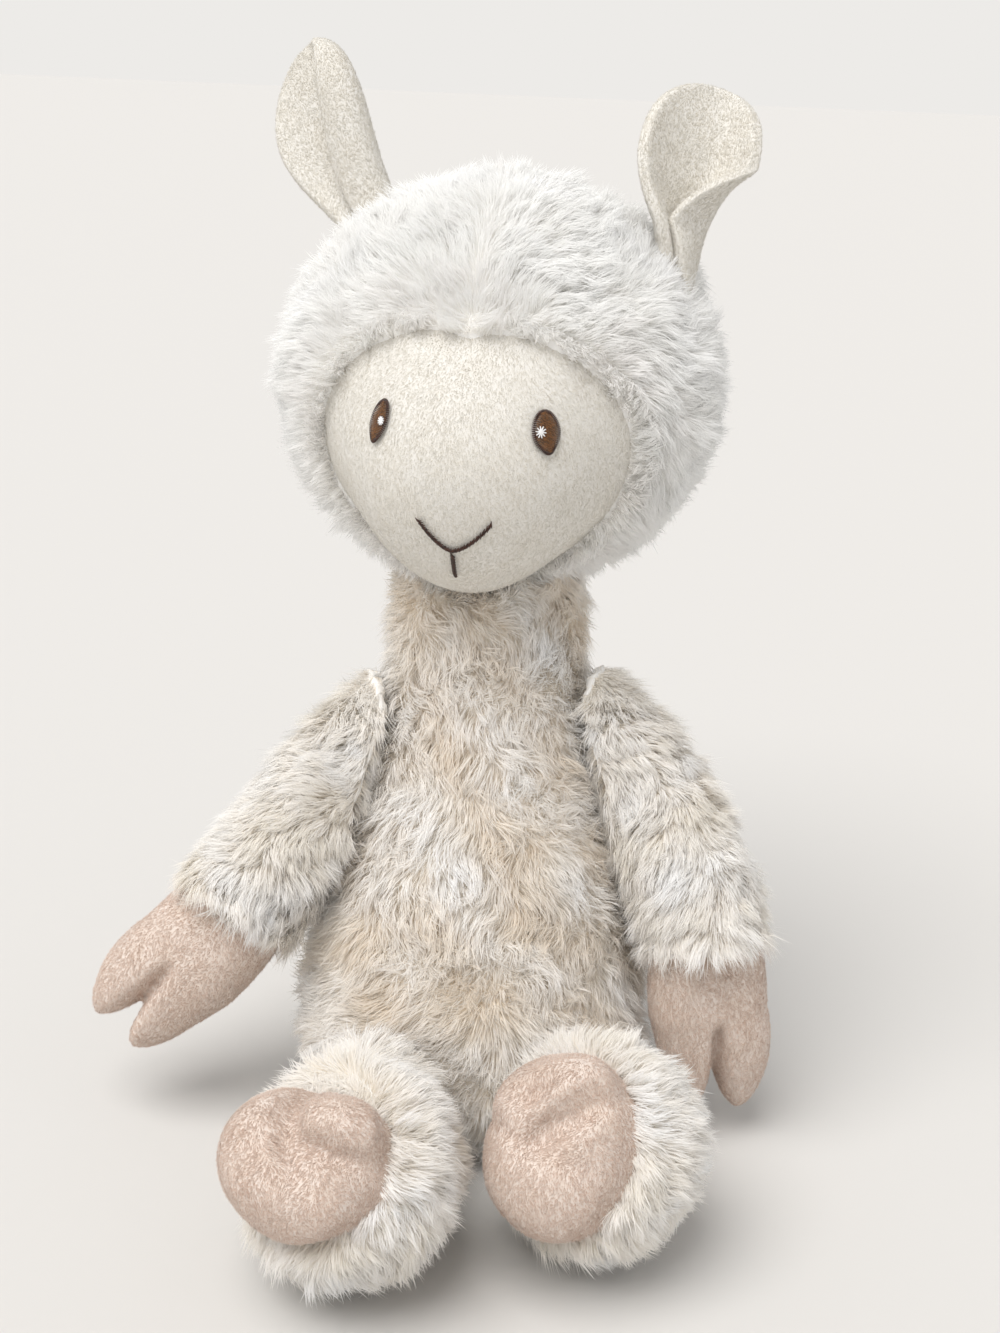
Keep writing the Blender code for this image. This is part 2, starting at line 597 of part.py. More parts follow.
def limb_shell(name, stations, floor, inner_floor, body, finishes):
    """The fur of an arm or leg as an open tube, the filling in it, and the space that both take."""
    end, along, radius = stations[-1]
    coarse = [stations[0], *stations[1:-1:2], stations[-1]]
    outside = [square_ring(c, a, r, LIMB_ROUND, 0, floor) for c, a, r in stations]
    inside = [square_ring(c, a, r, LIMB_ROUND, FUR, inner_floor) for c, a, r in coarse]
    fur = solid(name.replace("_", "_fur_"), outside + inside[::-1], finishes["fur"], loop=True)
    packed_floor = None if inner_floor is None else inner_floor + SEAM
    packed = [square_ring(c, a, r, LIMB_ROUND, FUR + SEAM, packed_floor) for c, a, r in coarse]
    plug = end + along * PLUG_REACH
    packed += [square_ring(c, along, PLUG_WIDTH / 2, LIMB_ROUND) for c in (end, plug)]
    filling = solid(
        name.replace("_", "_filling_"), [[stations[0][0]], *packed, [plug]], finishes["filling"]
    )
    past_end = [*stations, (end + along * SEAM, along, radius)]
    closed = [square_ring(c, a, r, LIMB_ROUND, -SEAM) for c, a, r in past_end]
    space = cutter(name + "_space", [[stations[0][0]], *closed, [end + along * SEAM]])
    cut(fur, body)
    cut(filling, body)
    return filling, space


def make_arms(body, finishes):
    for name, hand in SIDES.items():
        half_width = body_radii(SHOULDER_HEIGHT)[0]
        shoulder = spine(SHOULDER_HEIGHT) + (hand * (half_width - SHOULDER_INSET), 0, 0)
        elbow, wrist = shoulder + ELBOWS[name], shoulder + WRISTS[name]
        stations = [
            (
                bend_line(shoulder, elbow, wrist, share),
                bend_way(shoulder, elbow, wrist, share),
                (ARM_WIDTH + (CUFF_WIDTH - ARM_WIDTH) * share) / 2,
            )
            for share in np.linspace(0, 1, 6)
        ]
        filling, sleeve = limb_shell("arm_" + name, stations, None, None, body, finishes)
        way = unit(HAND_WAYS[name])
        palm = wrist + way * HAND_REACH
        form = cloven(HAND_LENGTH, HAND_WIDTH, HAND_DEPTH, HAND_CLEFT, HAND_TOE)
        wad = make_mitt("hand_" + name, palm, way, HAND_LOBES[name], form, HAND_BACK, sleeve, finishes)
        join(filling, wad)


def make_legs(body, finishes):
    for name, hand in SIDES.items():
        hip = np.array([hand * HIP_SPREAD / 2, HIP_REACH, HIP_HEIGHT])
        foot = np.array([FOOT_X[name], FOOT_REACH[name], FOOT_HEIGHT])
        hoof_way = unit(HOOF_WAYS[name])
        opening = foot + hoof_way * HOOF_OPENING
        ball, thigh = FOOT_WIDTH / 2, THIGH_WIDTH / 2
        ankle = foot + unit(hip - foot) * math.sqrt(ball**2 - thigh**2)
        along_leg = unit(ankle - hip)
        stations = [(hip + (ankle - hip) * share, along_leg, thigh) for share in (0, 0.45, 0.9)]
        for share in (0.2, 0.4, 0.6, 0.8, 1):
            centre = bend_line(ankle, foot, opening, share)
            radius = math.sqrt(ball**2 - np.sum((centre - foot) ** 2))
            stations.append((centre, bend_way(ankle, foot, opening, share), radius))
        filling, leg = limb_shell("leg_" + name, stations, 0.0, FLOOR_FUR, body, finishes)
        form = cloven(HOOF_LENGTH, HOOF_WIDTH, HOOF_DEPTHS[name], HOOF_CLEFT, HOOF_TOE)
        wad = make_mitt("hoof_" + name, opening, hoof_way, HOOF_LOBES[name], form, HOOF_BACK, leg, finishes)
        join(filling, wad)


def main():
    for old in list(bpy.data.objects):
        bpy.data.objects.remove(old)
    finishes = {
        "fur": material("long_fur", (0.84, 0.81, 0.76), 0.9),
        "velour": material("cream_velour", (0.80, 0.77, 0.69), 0.85),
        "peach": material("peach_velour", (0.73, 0.58, 0.47), 0.85),
        "brown": material("brown_thread", (0.13, 0.06, 0.02), 0.5),
        "dark": material("dark_thread", (0.05, 0.015, 0.01), 0.5),
        "white": material("white_thread", (0.85, 0.85, 0.86), 0.45),
        "filling": material("fibre_filling", (0.85, 0.85, 0.85), 0.95),
        "bag": material("pellet_bag_cloth", (0.75, 0.75, 0.73), 0.8),
    }
    body, body_core, body_envelope = make_body(finishes)
    head, head_envelope, head_inner = make_head(finishes)
    cut(body, head_envelope)
    cut(body_core, head_inner)
    make_embroidery(head, finishes)
    for name, hand in SIDES.items():
        make_ear(name, hand, head_envelope, finishes["velour"], head)
    make_arms(body_envelope, finishes)
    make_legs(body_envelope, finishes)


main()
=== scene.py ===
# %% [markdown]
# # A plush llama
# The real toy is cut from two cloths. Long fur cloth makes the hood, the body, the sleeves and the legs.
# Short velour makes the face, the ears, the hands and the hooves. Each piece is sewn, turned and stuffed.
# Here each stuffed form is a smooth skin, and the pile of the cloth is grown on it as real strands,
# because a picture of fur on a smooth ball loses the soft broken outline that makes a plush toy.

# %% The frame
import math

import bpy
import numpy as np
from mathutils import Matrix, Vector, kdtree


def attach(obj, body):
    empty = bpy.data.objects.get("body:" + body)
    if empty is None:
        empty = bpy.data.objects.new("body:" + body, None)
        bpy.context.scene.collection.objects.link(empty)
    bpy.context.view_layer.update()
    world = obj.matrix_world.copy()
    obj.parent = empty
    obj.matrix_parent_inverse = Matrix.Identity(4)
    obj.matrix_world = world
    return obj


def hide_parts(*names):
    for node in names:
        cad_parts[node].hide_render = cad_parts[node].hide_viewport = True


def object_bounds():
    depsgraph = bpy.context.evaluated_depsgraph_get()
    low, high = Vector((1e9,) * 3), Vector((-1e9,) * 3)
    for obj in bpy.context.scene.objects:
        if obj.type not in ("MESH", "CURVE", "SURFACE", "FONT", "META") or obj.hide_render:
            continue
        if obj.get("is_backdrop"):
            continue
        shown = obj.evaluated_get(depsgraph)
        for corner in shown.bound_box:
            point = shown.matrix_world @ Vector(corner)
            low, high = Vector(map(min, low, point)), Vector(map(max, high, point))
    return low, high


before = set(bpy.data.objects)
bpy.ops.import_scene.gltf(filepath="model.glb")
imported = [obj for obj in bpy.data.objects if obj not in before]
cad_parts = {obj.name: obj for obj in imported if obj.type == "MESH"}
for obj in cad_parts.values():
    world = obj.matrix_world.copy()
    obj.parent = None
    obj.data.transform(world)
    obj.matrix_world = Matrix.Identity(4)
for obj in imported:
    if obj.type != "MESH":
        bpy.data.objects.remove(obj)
cad_box = [list(corner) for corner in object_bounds()]
MM = 0.001
SIDES = {"left": 1, "right": -1}  # the toy's own left is +X
rng = np.random.default_rng(11)
print("solids in the frame:", len(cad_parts))

# %% [markdown]
# ## Camera, lamps and floor
# The photograph looks down on the toy by about 18 degrees from half a metre. One large soft lamp from the
# upper left stands for the window light, and the world fills the shadows.

# %% Camera
ELEVATION, ROLL, DISTANCE = math.radians(18), math.radians(2.4), 0.5
TARGET = Vector((0, -0.020, 0.145))
back = Vector((0, -math.cos(ELEVATION), math.sin(ELEVATION)))
bpy.ops.object.camera_add()
camera = bpy.context.object
camera.data.lens, camera.data.sensor_width = 50, 36
camera.data.shift_x = 14 / 1333
looking = back.to_track_quat("Z", "Y").to_matrix().to_4x4()
camera.matrix_world = Matrix.Translation(TARGET + back * DISTANCE) @ looking @ Matrix.Rotation(ROLL, 4, "Z")
bpy.context.scene.camera = camera
bpy.context.scene.view_settings.view_transform = "Standard"
print("camera stands at", [round(v, 3) for v in camera.matrix_world.translation])


# %% One function for colours, one for nodes
def linear(hex_colour):
    """An sRGB hex value as linear red, green, blue and alpha."""
    parts = [int(hex_colour[i : i + 2], 16) / 255 for i in (1, 3, 5)]
    return (*[p / 12.92 if p <= 0.04045 else ((p + 0.055) / 1.055) ** 2.4 for p in parts], 1)


def add_node(tree, kind, settings=None, links=None):
    """A new node with its settings, and with its inputs linked by name or number."""
    node = tree.nodes.new(kind)
    for key, value in (settings or {}).items():
        if isinstance(key, int) or key in node.inputs:
            node.inputs[key].default_value = value
        else:
            setattr(node, key, value)
    for key, source in (links or {}).items():
        tree.links.new(source, node.inputs[key])
    return node


def ramp_node(tree, source, stops):
    """A colour ramp over a value, with its stops from low to high as places and colours."""
    node = add_node(tree, "ShaderNodeValToRGB", links={"Fac": source})
    ramp = node.color_ramp.elements
    for element, (place, colour) in zip(ramp, (stops[0], stops[-1])):
        element.position, element.color = place, colour
    for place, colour in stops[1:-1]:
        ramp.new(place).color = colour
    return node.outputs["Color"]


def start_finish(name, values):
    """A material with values on its shader's own sockets, with its node tree and its shader."""
    material = bpy.data.materials.new(name)
    material.use_nodes = True
    shader = material.node_tree.nodes["Principled BSDF"]
    for socket, value in values.items():
        shader.inputs[socket].default_value = value
    return material, material.node_tree, shader


# %% Lamps and world
def soft_sun(name, place, spread, strength, colour):
    """A sun that shines from a place towards the toy, as soft as its spread in degrees."""
    bpy.ops.object.light_add(type="SUN", location=place)
    lamp = bpy.context.object
    lamp.name = name
    lamp.data.angle, lamp.data.energy, lamp.data.color = math.radians(spread), strength, linear(colour)[:3]
    lamp.rotation_euler = (Vector(place) - TARGET).to_track_quat("Z", "Y").to_euler()


soft_sun("window_light", (-0.38, -0.45, 1.20), 45, 2.4, "#FFFDFB")
world = bpy.data.worlds.new("plain_room")
bpy.context.scene.world = world
world.use_nodes = True
world.node_tree.nodes.clear()
tree = world.node_tree
fill = add_node(tree, "ShaderNodeBackground", {"Color": linear("#FFFFFF"), "Strength": 0.60})
seen = add_node(tree, "ShaderNodeBackground", {"Color": linear("#EDEBE8"), "Strength": 1.0})
ray = add_node(tree, "ShaderNodeLightPath")
rays = {0: ray.outputs["Is Camera Ray"], 1: ray.outputs["Is Glossy Ray"]}
either = add_node(tree, "ShaderNodeMath", {"operation": "MAXIMUM"}, rays)
ends = {0: either.outputs[0], 1: fill.outputs[0], 2: seen.outputs[0]}
mixed = add_node(tree, "ShaderNodeMixShader", links=ends)
add_node(tree, "ShaderNodeOutputWorld", links={"Surface": mixed.outputs[0]})

# %% Floor
bpy.ops.mesh.primitive_plane_add(size=40)
floor = bpy.context.object
floor.name = "floor"
paper = start_finish("matt_paper", {"Base Color": linear("#D6D4D1"), "Roughness": 0.9})
floor.data.materials.append(paper[0])
floor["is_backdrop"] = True
print("lamps, world and floor are set")

# %% [markdown]
# ## Finishes
# Both cloths are polyester. The long fur is a knitted backing with straight fine fibres, brushed and
# slightly matted, so its colour changes a little from lock to lock. Each strand is also painted deeper
# towards its root, as painted shade between the strands. The velour is a cut pile of about 1 mm. Its
# soft look comes from fibre tips that catch the light, so it gets short fibres as well.


# %% Fibres that read their tint across and their length up the piece's own map
THROUGH = 0.5  # share of the light that a clear, thin fibre lets through instead of throwing it back


def fibre_finish(name, tints, root, roughness, sheen):
    """Polyester fibre: IOR about 1.55, no metal, matt. The map's u picks the tint, v runs root to tip, with
    painted shade at the root.
    """
    values = {"Roughness": roughness, "IOR": 1.55, "Specular IOR Level": 0.25}
    values.update({"Sheen Weight": sheen, "Sheen Roughness": 0.5})
    material, tree, shader = start_finish(name, values)
    place = add_node(tree, "ShaderNodeUVMap", {"uv_map": "OFBake"})
    parts = add_node(tree, "ShaderNodeSeparateXYZ", links={0: place.outputs["UV"]})
    low, middle, high = (linear(colour) for colour in tints)
    tint = ramp_node(tree, parts.outputs["X"], ((0.05, low), (0.5, middle), (0.95, high)))
    # painted shade: the root colour darkens each strand towards its root, where shade falls between the
    # strands
    depth = ramp_node(tree, parts.outputs["Y"], ((0, linear(root)), (0.6, (1, 1, 1, 1))))
    colours = {6: tint, 7: depth}
    mixed = add_node(tree, "ShaderNodeMix", {"data_type": "RGBA", "blend_type": "MULTIPLY", 0: 1.0}, colours)
    tree.links.new(mixed.outputs[2], shader.inputs["Base Color"])
    through = add_node(tree, "ShaderNodeBsdfTranslucent", links={"Color": mixed.outputs[2]})
    both = add_node(tree, "ShaderNodeMixShader", {0: THROUGH}, {1: shader.outputs[0], 2: through.outputs[0]})
    tree.links.new(both.outputs[0], tree.nodes["Material Output"].inputs["Surface"])
    return material


hood_pile = fibre_finish("brushed_white_fur", ("#FDFCFB", "#FFFFFE", "#FFFFFF"), "#FFFEFC", 0.85, 0.1)
body_pile = fibre_finish("matted_cream_fur", ("#F8F1E7", "#FDFAF6", "#FFFFFF"), "#FCF9F3", 0.85, 0.1)
limb_pile = fibre_finish("brushed_cream_fur", ("#FBF8F2", "#FFFDFA", "#FFFFFF"), "#FCF8F1", 0.85, 0.1)
cream_nap = fibre_finish("cut_cream_velour_nap", ("#EDEAE4", "#F0EEE9", "#F3F2EF"), "#ECE9E2", 0.85, 0.15)
peach_nap = fibre_finish("cut_peach_velour_nap", ("#E5D6CB", "#EADED5", "#EFE5DE"), "#E5D6CB", 0.85, 0.15)


# %% Cloth under the pile
def woven_ground(name, colour, shade, mottle, grain, depth):
    """Dense knitted ground: IOR about 1.55, soft mottling, and a bump as coarse as the pile's own clumps."""
    values = {"Roughness": 0.9, "IOR": 1.55, "Specular IOR Level": 0.2}
    values.update({"Sheen Weight": 0.3, "Sheen Roughness": 0.45})
    material, tree, shader = start_finish(name, values)
    place = add_node(tree, "ShaderNodeTexCoord")
    spot = {"Vector": place.outputs["Object"]}
    patches = add_node(tree, "ShaderNodeTexNoise", {"Scale": 1 / mottle, "Detail": 3.0}, spot)
    clumps = add_node(tree, "ShaderNodeTexNoise", {"Scale": 1 / grain, "Detail": 2.0}, spot)
    fields = {0: clumps.outputs["Fac"], 2: patches.outputs["Fac"]}
    both = add_node(tree, "ShaderNodeMath", {"operation": "MULTIPLY_ADD", 1: 0.45}, fields)
    mottled = ramp_node(tree, both.outputs[0], ((0.5, linear(shade)), (0.85, linear(colour))))
    relief = {"Height": clumps.outputs["Fac"]}
    bump = add_node(tree, "ShaderNodeBump", {"Strength": 0.5, "Distance": depth}, relief)
    tree.links.new(mottled, shader.inputs["Base Color"])
    tree.links.new(bump.outputs["Normal"], shader.inputs["Normal"])
    return material


hood_ground = woven_ground("knitted_white_backing", "#FCFBF9", "#F8F6F2", 14 * MM, 1.6 * MM, 0.6 * MM)
body_ground = woven_ground("knitted_cream_backing", "#F6F1EA", "#EEE6DA", 14 * MM, 1.6 * MM, 0.6 * MM)
cream_ground = woven_ground("cream_velour", "#E9E6E0", "#E5E1D9", 9 * MM, 1.1 * MM, 0.2 * MM)
peach_ground = woven_ground("peach_velour", "#E1D4CA", "#DACABD", 7 * MM, 1.6 * MM, 0.4 * MM)
loose_fibre = woven_ground("carded_polyester_fibre", "#F4F4F4", "#E8E8E8", 6 * MM, 0.8 * MM, 0.5 * MM)
bag_cloth = woven_ground("plain_woven_bag_cloth", "#DEDCD6", "#D2CFC8", 6 * MM, 1.0 * MM, 0.3 * MM)


# %% Embroidery thread
def thread_finish(name, colour, roughness, gap_shade=0.3):
    """Rayon thread: IOR about 1.5, with the silky gloss of smooth straight filaments."""
    material, tree, shader = start_finish(name, {"Roughness": roughness, "IOR": 1.5})
    place = add_node(tree, "ShaderNodeTexCoord")
    strand = add_node(tree, "ShaderNodeTexNoise", {"Scale": 1 / (0.5 * MM)}, {0: place.outputs["Object"]})
    # painted shade: random darker tones stand for the shade in the gaps between threads
    darker = tuple(v * gap_shade for v in linear(colour)[:3]) + (1,)
    tones = ramp_node(tree, strand.outputs["Fac"], ((0.4, darker), (0.6, linear(colour))))
    tree.links.new(tones, shader.inputs["Base Color"])
    return material


brown_thread = thread_finish("brown_rayon_thread", "#84582F", 0.38)
dark_thread = thread_finish("dark_brown_rayon_thread", "#43200F", 0.4)
white_thread = thread_finish("white_rayon_thread", "#FAFAFA", 0.35, 0.85)
print("finishes:", len(bpy.data.materials))

# %% [markdown]
# ## Shared ways of working
# Every stuffed form starts as a sphere or as a copy of its solids. What each piece needs is written once:
# starting it, applying a modifier, finding points on its skin, and making strands there.


# %% Starting and finishing a piece
def deselect():
    if bpy.context.object and bpy.context.object.mode != "OBJECT":
        bpy.ops.object.mode_set(mode="OBJECT")
    bpy.ops.object.select_all(action="DESELECT")


def only(piece):
    deselect()
    piece.select_set(True)
    bpy.context.view_layer.objects.active = piece


def apply_modifier(piece, kind, **settings):
    only(piece)
    modifier = piece.modifiers.new(kind.lower(), kind)
    for key, value in settings.items():
        setattr(modifier, key, value)
    bpy.ops.object.modifier_apply(modifier=modifier.name)


def points_of(piece):
    points = np.empty((len(piece.data.vertices), 3))
    piece.data.vertices.foreach_get("co", points.ravel())
    return points


def set_points(piece, points):
    piece.data.vertices.foreach_set("co", np.ascontiguousarray(points, float).ravel())
    piece.data.update()


def face_outwards(piece):
    only(piece)
    bpy.ops.object.mode_set(mode="EDIT")
    bpy.ops.mesh.select_all(action="SELECT")
    bpy.ops.mesh.remove_doubles(threshold=0.00002)
    bpy.ops.mesh.normals_make_consistent(inside=False)
    bpy.ops.object.mode_set(mode="OBJECT")
    piece.data.shade_smooth()


def belongs(piece, finish, nodes=()):
    """Gives a piece its finish, its place in the table, and the solids that it stands for."""
    piece.data.materials.clear()
    piece.data.materials.append(finish)
    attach(piece, "root")
    if nodes:
        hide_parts(*nodes)
    print(piece.name, len(piece.data.polygons), "faces")


def round_start(name, around, along):
    """A UV sphere of radius 1 at the origin, to be drawn out into a stuffed form."""
    deselect()
    bpy.ops.mesh.primitive_uv_sphere_add(segments=around, ring_count=along, radius=1)
    piece = bpy.context.object
    piece.name = piece.data.name = name
    return piece


def skin_over(name, nodes, voxel, inset, rounds):
    """One smooth closed skin over several solids, set in by the height of the pile."""
    deselect()
    for node in nodes:
        copy = bpy.data.objects.new(node + "_copy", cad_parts[node].data.copy())
        bpy.context.scene.collection.objects.link(copy)
        copy.select_set(True)
        bpy.context.view_layer.objects.active = copy
    bpy.ops.object.join()
    skin = bpy.context.object
    skin.name = skin.data.name = name
    apply_modifier(skin, "REMESH", mode="VOXEL", voxel_size=voxel, use_smooth_shade=True)
    apply_modifier(skin, "SMOOTH", factor=0.8, iterations=rounds)
    apply_modifier(skin, "DISPLACE", strength=-inset, mid_level=0)
    apply_modifier(skin, "SMOOTH", factor=0.5, iterations=4)
    return skin


# %% [markdown]
# ### Strands
# A hair system would grow fur faster, but it doesn't survive as a mesh. Each strand here is a tapered
# ribbon of three triangles, bent once. Strands belong to tufts and to larger locks, which share their
# lean and length and draw their tips together, as brushed fur does.


# %% Smooth random fields, unit vectors and points on a skin
def unit(vectors):
    vectors = np.asarray(vectors, float)
    return vectors / np.maximum(np.linalg.norm(vectors, axis=-1, keepdims=True), 1e-12)


def waves(points, size, seed):
    """A smooth random value between about -1 and 1 for each point, with swells of that size."""
    draw = np.random.default_rng(seed)
    ways = unit(draw.normal(size=(7, 3))) * draw.uniform(0.6, 1.5, (7, 1)) * 2 * math.pi / size
    phases = draw.uniform(0, 2 * math.pi, 7)
    return np.sin(points @ ways.T + phases).sum(1) / 2.6


def flat_on(vectors, normals):
    """What lies in the cloth of each vector, at length 1."""
    return unit(vectors - (vectors * normals).sum(1, keepdims=True) * normals)


def turned(vectors, normals, angles):
    """Vectors in the cloth turned about its normal."""
    c, s = np.cos(angles)[:, None], np.sin(angles)[:, None]
    return vectors * c + np.cross(normals, vectors) * s


def scatter(skin, count, keep):
    """Random points on a skin with its normals there, even by area."""
    mesh = skin.data
    mesh.calc_loop_triangles()
    corners = np.empty((len(mesh.loop_triangles), 3), np.int32)
    mesh.loop_triangles.foreach_get("vertices", corners.ravel())
    points = points_of(skin)
    normals = np.empty((len(mesh.vertices), 3))
    mesh.vertices.foreach_get("normal", normals.ravel())
    a, b, c = points[corners[:, 0]], points[corners[:, 1]], points[corners[:, 2]]
    area = np.linalg.norm(np.cross(b - a, c - a), axis=1) / 2
    if keep is not None:
        area = area * keep((a + b + c) / 3, unit(normals[corners].sum(1)))
    picked = rng.choice(len(corners), count, p=area / area.sum())
    first, second = np.sqrt(rng.random(count)), rng.random(count)
    shares = np.stack([1 - first, first * (1 - second), first * second], 1)[:, :, None]
    at = (points[corners[picked]] * shares).sum(1)
    out = unit((normals[corners[picked]] * shares).sum(1))
    return at, out


def nearest(points, centres):
    """Number of the nearest centre to each point."""
    tree = kdtree.KDTree(len(centres))
    for i, centre in enumerate(centres):
        tree.insert(centre, i)
    tree.balance()
    return np.array([tree.find(p)[1] for p in points])


def clumps_of(roots, size):
    """Some of the roots as centres of clumps about that wide, and the number of each root's clump."""
    spread = np.ptp(roots, axis=0)
    area = (spread[0] * spread[1] + spread[1] * spread[2] + spread[0] * spread[2]) * 1.6
    count = min(len(roots), int(area / size**2))
    centres = roots[rng.choice(len(roots), count, replace=False)]
    return centres, nearest(roots, centres)


# %% The strands' mesh
def strand_mesh(name, rows, tints, heights):
    """A mesh of equal strands. rows: for each strand its corners, two by two and then the tip."""
    count, corners = rows.shape[:2]
    if corners == 3:
        pattern = [[0, 1, 2]]
        across = np.array([-1, 1, 0])
    else:
        pattern = [[0, 1, 3], [0, 3, 2], [2, 3, 4]]
        across = np.array([-1, 1, -1, 1, 0])
    faces = (np.arange(count)[:, None, None] * corners + np.array(pattern)).reshape(-1, 3)
    mesh = bpy.data.meshes.new(name)
    mesh.vertices.add(count * corners)
    mesh.vertices.foreach_set("co", rows.ravel())
    mesh.loops.add(faces.size)
    mesh.loops.foreach_set("vertex_index", faces.ravel().astype(np.int32))
    mesh.polygons.add(len(faces))
    mesh.polygons.foreach_set("loop_start", np.arange(0, faces.size, 3, dtype=np.int32))
    mesh.update(calc_edges=True)
    low, high = np.percentile(tints, (1, 99))
    tints = np.interp(tints, (low, high), (0.03, 0.97))
    u = tints[:, None] + 0.008 * across
    v = np.broadcast_to(heights, (count, corners))
    places = np.stack([u, v], 2).reshape(-1, 2)[faces.ravel()]
    mesh.uv_layers.new(name="OFBake").data.foreach_set("uv", np.clip(places, 0.001, 0.999).ravel())
    mesh.shade_smooth()
    piece = bpy.data.objects.new(name, mesh)
    bpy.context.scene.collection.objects.link(piece)
    return piece


# %% Long fur
LOCK, TUFT, STRAND_WIDTH, CURL = 6.5 * MM, 2.4 * MM, 0.28 * MM, 0.3


def grow_fur(name, roots, normals, comb, length, lift, tint, mess=0.0):
    """Strands combed along the cloth. Matted places have a mess near 1, where small tufts turn all ways."""
    count = len(roots)
    locks, in_lock = clumps_of(roots, LOCK)
    tufts, in_tuft = clumps_of(roots, TUFT)
    lock_turn, tuft_turn = rng.normal(0, 0.28, len(locks)), rng.normal(0, 0.16, len(tufts))
    lock_rise, tuft_rise = rng.normal(0, 0.13, len(locks)), rng.normal(0, 0.08, len(tufts))
    lock_size, tuft_size = rng.uniform(0.85, 1.2, len(locks)), rng.uniform(0.85, 1.15, len(tufts))
    lock_tint, tuft_tint = rng.normal(0, 0.06, len(locks)), rng.normal(0, 0.05, len(tufts))
    turn = lock_turn[in_lock] + (1 + 6 * mess) * tuft_turn[in_tuft] + rng.normal(0, 0.10, count)
    rise = lift + lock_rise[in_lock] + tuft_rise[in_tuft] + rng.normal(0, 0.08, count)
    size = length * lock_size[in_lock] * tuft_size[in_tuft] * rng.uniform(0.72, 1.08, count)
    way = turned(comb, normals, turn)
    steep, flat = np.clip(rise + CURL, 0.1, 1.5)[:, None], np.clip(rise - CURL, 0.03, 1.4)[:, None]
    pull = 0.40 * (tufts[in_tuft] - roots) + 0.28 * (locks[in_lock] - roots)
    middle = roots + size[:, None] * 0.5 * (way * np.cos(steep) + normals * np.sin(steep)) + 0.45 * pull
    tip = middle + size[:, None] * 0.5 * (way * np.cos(flat) + normals * np.sin(flat)) + 0.5 * pull
    tip += rng.normal(0, 0.35 * MM, (count, 3))
    middle += rng.normal(0, 0.15 * MM, (count, 3))
    above = rng.uniform(0.3 * MM, 2.2 * MM, count)
    middle[:, 2] = np.maximum(middle[:, 2], above)
    tip[:, 2] = np.maximum(tip[:, 2], above)
    along = unit(tip - roots)
    side = unit(np.cross(along, normals))
    roll = rng.normal(0, 0.3, count)
    side = side * np.cos(roll)[:, None] + np.cross(side, along) * np.sin(roll)[:, None]
    half = side * STRAND_WIDTH / 2 * rng.uniform(0.8, 1.25, count)[:, None]
    rows = np.stack([roots - half, roots + half, middle - 0.9 * half, middle + 0.9 * half, tip], 1)
    tints = tint + lock_tint[in_lock] + tuft_tint[in_tuft] + rng.normal(0, 0.04, count)
    return strand_mesh(name, rows, tints, np.array([0.02, 0.02, 0.5, 0.5, 0.98]))


# %% Short nap
def grow_nap(name, roots, normals, comb, length, lift, width, tuft, gather):
    """Cut pile or undercoat: single triangles that lean along the comb, in small clumps."""
    count = len(roots)
    tufts, in_tuft = clumps_of(roots, tuft)
    turn = rng.normal(0, 0.25, len(tufts))[in_tuft] + rng.normal(0, 0.12, count)
    rise = np.clip(lift + rng.normal(0, 0.12, len(tufts))[in_tuft] + rng.normal(0, 0.08, count), 0.1, 1.5)
    way = turned(comb, normals, turn)
    size = length * rng.uniform(0.7, 1.1, count) * rng.uniform(0.8, 1.2, len(tufts))[in_tuft]
    lean = way * np.cos(rise)[:, None] + normals * np.sin(rise)[:, None]
    tip = roots + lean * size[:, None] + gather * (tufts[in_tuft] - roots)
    tip[:, 2] = np.maximum(tip[:, 2], 0.2 * MM)
    side = unit(np.cross(unit(tip - roots), normals + rng.normal(0, 0.15, (count, 3))))
    half = width / 2 * rng.uniform(0.8, 1.2, count)[:, None]
    rows = np.stack([roots - side * half, roots + side * half, tip], 1)
    tints = rng.normal(0.5, 0.12, count) + rng.normal(0, 0.12, len(tufts))[in_tuft]
    return strand_mesh(name, rows, tints + 0.2 * waves(roots, 12 * MM, 5), np.array([0.05, 0.05, 0.95]))


def undercoat(name, skin, count, keep, comb_at, length, lift, finish):
    """Dense short fibre under the pile, so that no backing shows between the locks."""
    roots, normals = scatter(skin, count, keep)
    comb = comb_at(roots, normals)
    fibres = grow_nap(name, roots, normals, comb, length, lift, width=0.32 * MM, tuft=2.5 * MM, gather=0.3)
    belongs(fibres, finish)


def velour_nap(name, skin, count, keep, way, swirl, nap, finish):
    """Nap brushed one way, and turned here and there by a swirl's amount, size and seed."""
    roots, normals = scatter(skin, count, keep)
    comb = turned(flat_on(way + 0 * roots, normals), normals, swirl[0] * waves(roots, *swirl[1:]))
    belongs(grow_nap(name, roots, normals, comb, *nap), finish)


# %% Parts of a large pile, and the nap of each velour
HALVES = {"front": 62000, "back": 40000}  # strands in each, so that no piece holds too many
FACE_NAP = (0.8 * MM, 0.35, 0.18 * MM, 1.2 * MM, 0.08)  # length, lift, width, tuft and gather
EAR_NAP = (0.9 * MM, 0.40, 0.18 * MM, 1.2 * MM, 0.08)
MITT_NAP = (1.1 * MM, 0.42, 0.20 * MM, 1.4 * MM, 0.14)


def half_of(keep, part, limit):
    """A test that also keeps a root to the front or the back, by the way that its normal points."""
    return lambda points, normals: keep(points, normals) & ((normals[:, 1] < limit) == (part == "front"))


# %% [markdown]
# ## Head
# The head is a stuffed ball with a broad muzzle. The face panel and the hood share one form, so it is
# written once, as a distance from the head's centre for every direction: an egg with a round swelling.
# Each point of a sphere is moved out to that distance, and the eyes and mouth find the same surface.

